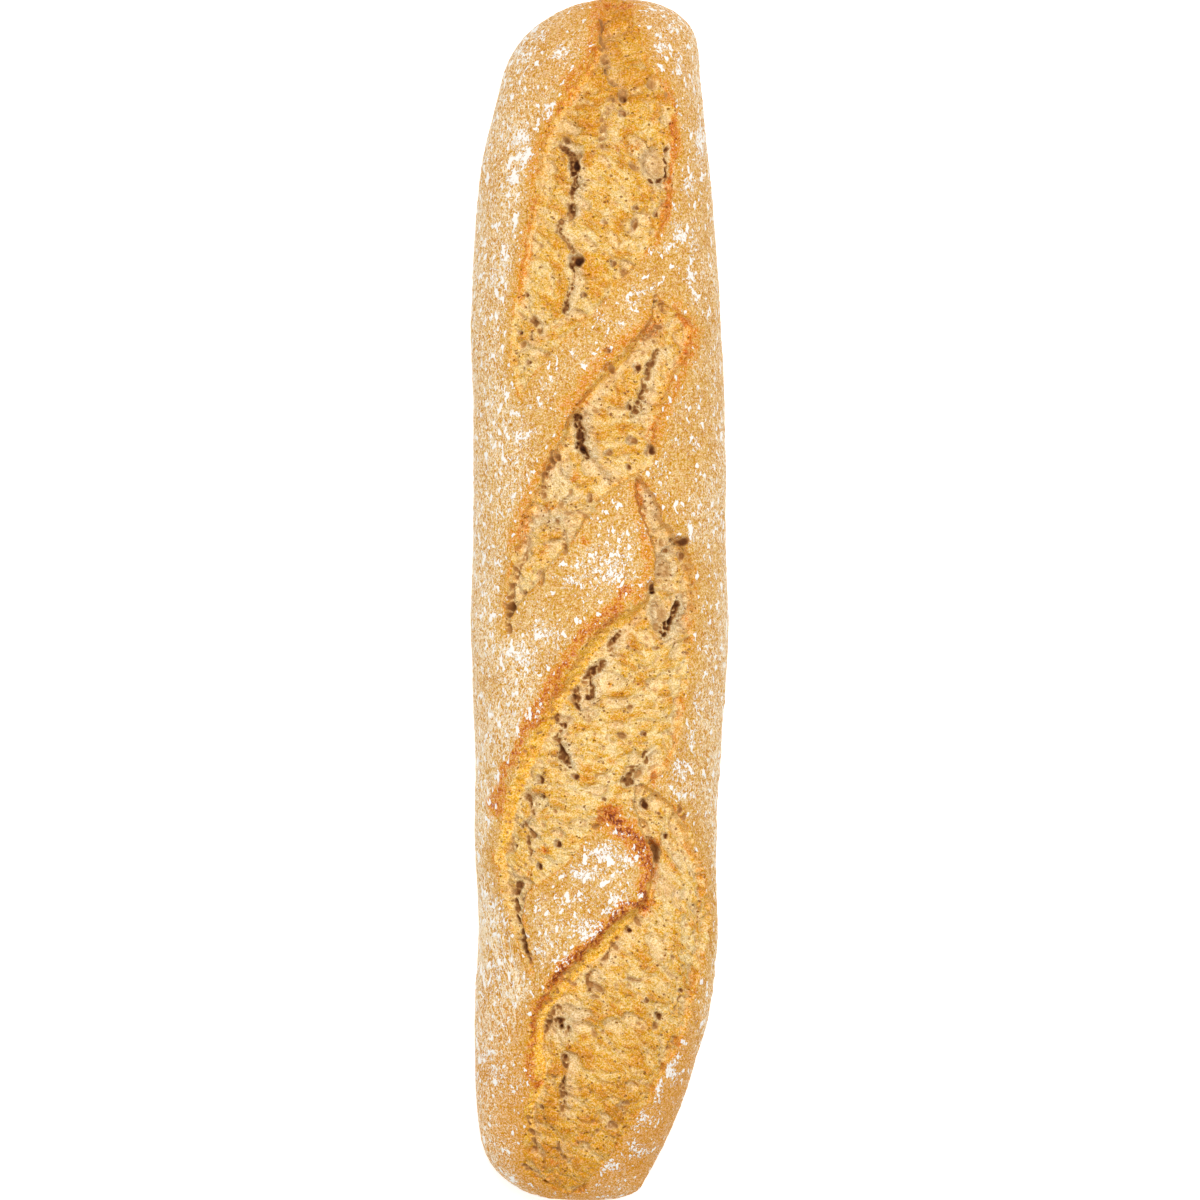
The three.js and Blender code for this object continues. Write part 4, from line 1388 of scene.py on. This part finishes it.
def flour_masks(shading):
    """Fine dust caught in the crust's grain, partly painted light on the flanks, and crisp flakes of loose
    flour.
    """
    dust_and_light = shading.attribute("dust_and_light")
    inputs = {"X": shading.attribute("folds"), "Y": shading.rise(FOLD_STRETCH)}
    place = shading.node("ShaderNodeCombineXYZ", inputs).outputs["Vector"]
    folds = shading.noise_at(place, 0.9, 1, 0.5)
    smooth = shading.noise(1.15, (1, 1.6, 1), detail=2)
    grain = shading.blended(shading.attribute("wrinkled"), smooth, folds)
    off_crest = shading.math("ABSOLUTE", shading.math("SUBTRACT", grain, 0.5))
    caught = shading.total((dust_and_light, 0.1), (shading.attribute("sunken_shade"), -0.06), (off_crest, -1.0))
    bare = shading.span(shading.attribute("toast"), 0.25, 0.6)
    fine = shading.math("MULTIPLY", shading.span(caught, -0.02, 0.02), shading.math("SUBTRACT", 1.0, bare))
    crumbs = shading.noise(0.8, (1, 1.3, 1), detail=3, roughness=0.65)
    flecks = shading.noise(2.2, (1, 1.5, 1), detail=2, roughness=0.55)
    thick = shading.total((crumbs, 1.0), (shading.attribute("flakes"), 0.21), (dust_and_light, 0.05))
    thin = shading.total((flecks, 1.0), (dust_and_light, 0.075), (shading.attribute("flakes"), 0.06))
    flakes = shading.math("MAXIMUM", shading.span(thick, 0.655, 0.67), shading.span(thin, 0.645, 0.66))
    return fine, flakes


def grained(shading, colour):
    """The colour with a crisp grain, its dark specks deeper in colour than its light ones."""
    grain = shading.noise(0.55, detail=2, roughness=0.6)
    inputs = {
        "Saturation": shading.span(grain, 0.34, 0.66, 1.25, 0.85),
        "Value": shading.span(grain, 0.34, 0.66, 0.8, 1.16),
        "Color": colour,
    }
    return shading.node("ShaderNodeHueSaturation", inputs).outputs["Color"]


def loaf_colour(shading, toast, torn, pores, dust_and_light, flakes):
    sunken_shade = shading.attribute("sunken_shade")
    # Painted shade in the crust's creases.
    crust = shading.tint(sunken_shade, 0.6, crust_colour(shading, toast), rgb(190, 122, 52))
    # Fine flour dust, with painted light on the steep flanks.
    crust = shading.tint(dust_and_light, 0.8, crust, rgb(250, 232, 200))
    underside = shading.mix(shading.noise(5), rgb(206, 150, 88), rgb(230, 194, 140))
    crust = shading.mix(shading.attribute("underside"), crust, underside)
    # Painted shade in the crumb's pits.
    crumb_pit_shade = shading.span(sunken_shade, 0.3, 1.1, 0.0, 0.42)
    crumb = shading.mix(crumb_pit_shade, crumb_colour(shading, toast), rgb(168, 106, 38))
    # Painted shade in the fine pores.
    crumb = shading.tint(pores, 0.8, crumb, rgb(142, 80, 28))
    colour = grained(shading, shading.mix(torn, crust, crumb))
    loose = shading.math("MULTIPLY", flakes, shading.math("SUBTRACT", 1.0, torn))
    colour = shading.mix(loose, colour, rgb(253, 247, 238))
    # Painted shade in the cracks, holes, pores and pits: brown to nearly black the deeper they sink.
    rough_shade = shading.total((shading.attribute("cavity_shade"), 1.0), (shading.noise(0.8, detail=2), 0.3))
    depth = shading.math("SUBTRACT", rough_shade, 0.15)
    stops = [
        (0.15, rgb(216, 180, 120)),
        (0.45, rgb(184, 134, 76)),
        (0.75, rgb(126, 76, 36)),
        (1.0, rgb(62, 30, 12)),
    ]
    return shading.mix(shading.span(depth, 0.15, 0.4), colour, shading.ramp(depth, stops))


def loaf_bump(shading, torn, pores, flakes):
    """Relief finer than the mesh: the crust's grain, the crumb's threads and pores, and flour's edges."""
    skin = shading.noise(0.7, (1, 1.5, 1), detail=3, roughness=0.65)
    threads = shading.fibre_noise(0.8, 3.0, detail=4, roughness=0.7)
    crumb = shading.total((threads, 1.4), (pores, -1.0))
    crust = shading.total((skin, 0.8), (flakes, 0.4))
    height = shading.blended(torn, crust, crumb)
    inputs = {"Height": height, "Strength": 0.8, "Distance": 0.3 * MM}
    return shading.node("ShaderNodeBump", inputs).outputs["Normal"]


def loaf_material():
    shading = Shading("crust_and_crumb")
    toast = shading.attribute("toast")
    fringe = shading.total((shading.attribute("edge"), 1.0), (shading.noise(0.9, detail=3), 1.2))
    torn = shading.span(fringe, 0.5, 0.85)
    pores = pore_mask(shading)
    dust_and_light, flakes = flour_masks(shading)
    shader = shading.shader
    shading.feed(shader.inputs["Base Color"], loaf_colour(shading, toast, torn, pores, dust_and_light, flakes))
    shading.feed(shader.inputs["Roughness"], shading.span(toast, 0.3, 1.0, 0.9, 0.6))
    shading.feed(shader.inputs["Normal"], loaf_bump(shading, torn, pores, flakes))
    shader.inputs["Specular IOR Level"].default_value = 0.2
    return shading.material


# ---- Stage ----
FLOOR_SIZE = 6.0
FLOOR_GLOW = 0.5  # the stage is lit from inside, which keeps shadows on it faint
LENS = 300.0  # long, so that the loaf's crown and its outline are seen at one scale
SENSOR = 36.0
VIEW_HEIGHT = LENGTH * MM  # the photograph's height at the loaf's widest level
KEY_PLACE = (0.2, 0.35, 1.7)
KEY_SIZE = 1.0
KEY_POWER = 21.4
FILL_PLACE = (-0.8, -0.4, 1.6)
FILL_SIZE = 1.2
FILL_POWER = 5.0
WORLD_STRENGTH = 0.35


def make_floor():
    bpy.ops.mesh.primitive_plane_add(size=FLOOR_SIZE)
    floor = bpy.context.object
    floor.name = "floor"
    shading = Shading("floor_white")
    shading.shader.inputs["Base Color"].default_value = rgb(245, 245, 245)
    shading.shader.inputs["Roughness"].default_value = 0.9
    shading.shader.inputs["Emission Color"].default_value = (1, 1, 1, 1)
    shading.shader.inputs["Emission Strength"].default_value = FLOOR_GLOW
    floor.data.materials.append(shading.material)


def make_light(name, place, size, power):
    light = bpy.data.lights.new(name, "AREA")
    light.shape = "DISK"
    light.size = size
    light.energy = power
    lamp = bpy.data.objects.new(name, light)
    lamp.location = place
    lamp.rotation_euler = (-Vector(place)).to_track_quat("-Z", "Y").to_euler()
    bpy.context.scene.collection.objects.link(lamp)


def make_world():
    world = bpy.data.worlds.new("studio")
    world.use_nodes = True
    background = world.node_tree.nodes["Background"]
    background.inputs["Color"].default_value = (1, 1, 1, 1)
    background.inputs["Strength"].default_value = WORLD_STRENGTH
    bpy.context.scene.world = world


def make_camera():
    """Straight above the loaf, with the photograph's top edge towards +y."""
    camera = bpy.data.cameras.new("camera")
    camera.lens = LENS
    camera.sensor_width = SENSOR
    distance = VIEW_HEIGHT * LENS / SENSOR
    camera.clip_end = distance * 3
    rig = bpy.data.objects.new("camera", camera)
    rig.location = (0, 0, GIRTH_LEVEL * MM + distance)
    bpy.context.scene.collection.objects.link(rig)
    bpy.context.scene.camera = rig


def main():
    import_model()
    make_loaf(loaf_material())
    make_floor()
    make_world()
    make_light("key", KEY_PLACE, KEY_SIZE, KEY_POWER)
    make_light("fill", FILL_PLACE, FILL_SIZE, FILL_POWER)
    make_camera()
    bpy.context.scene.view_settings.view_transform = "Standard"


main()
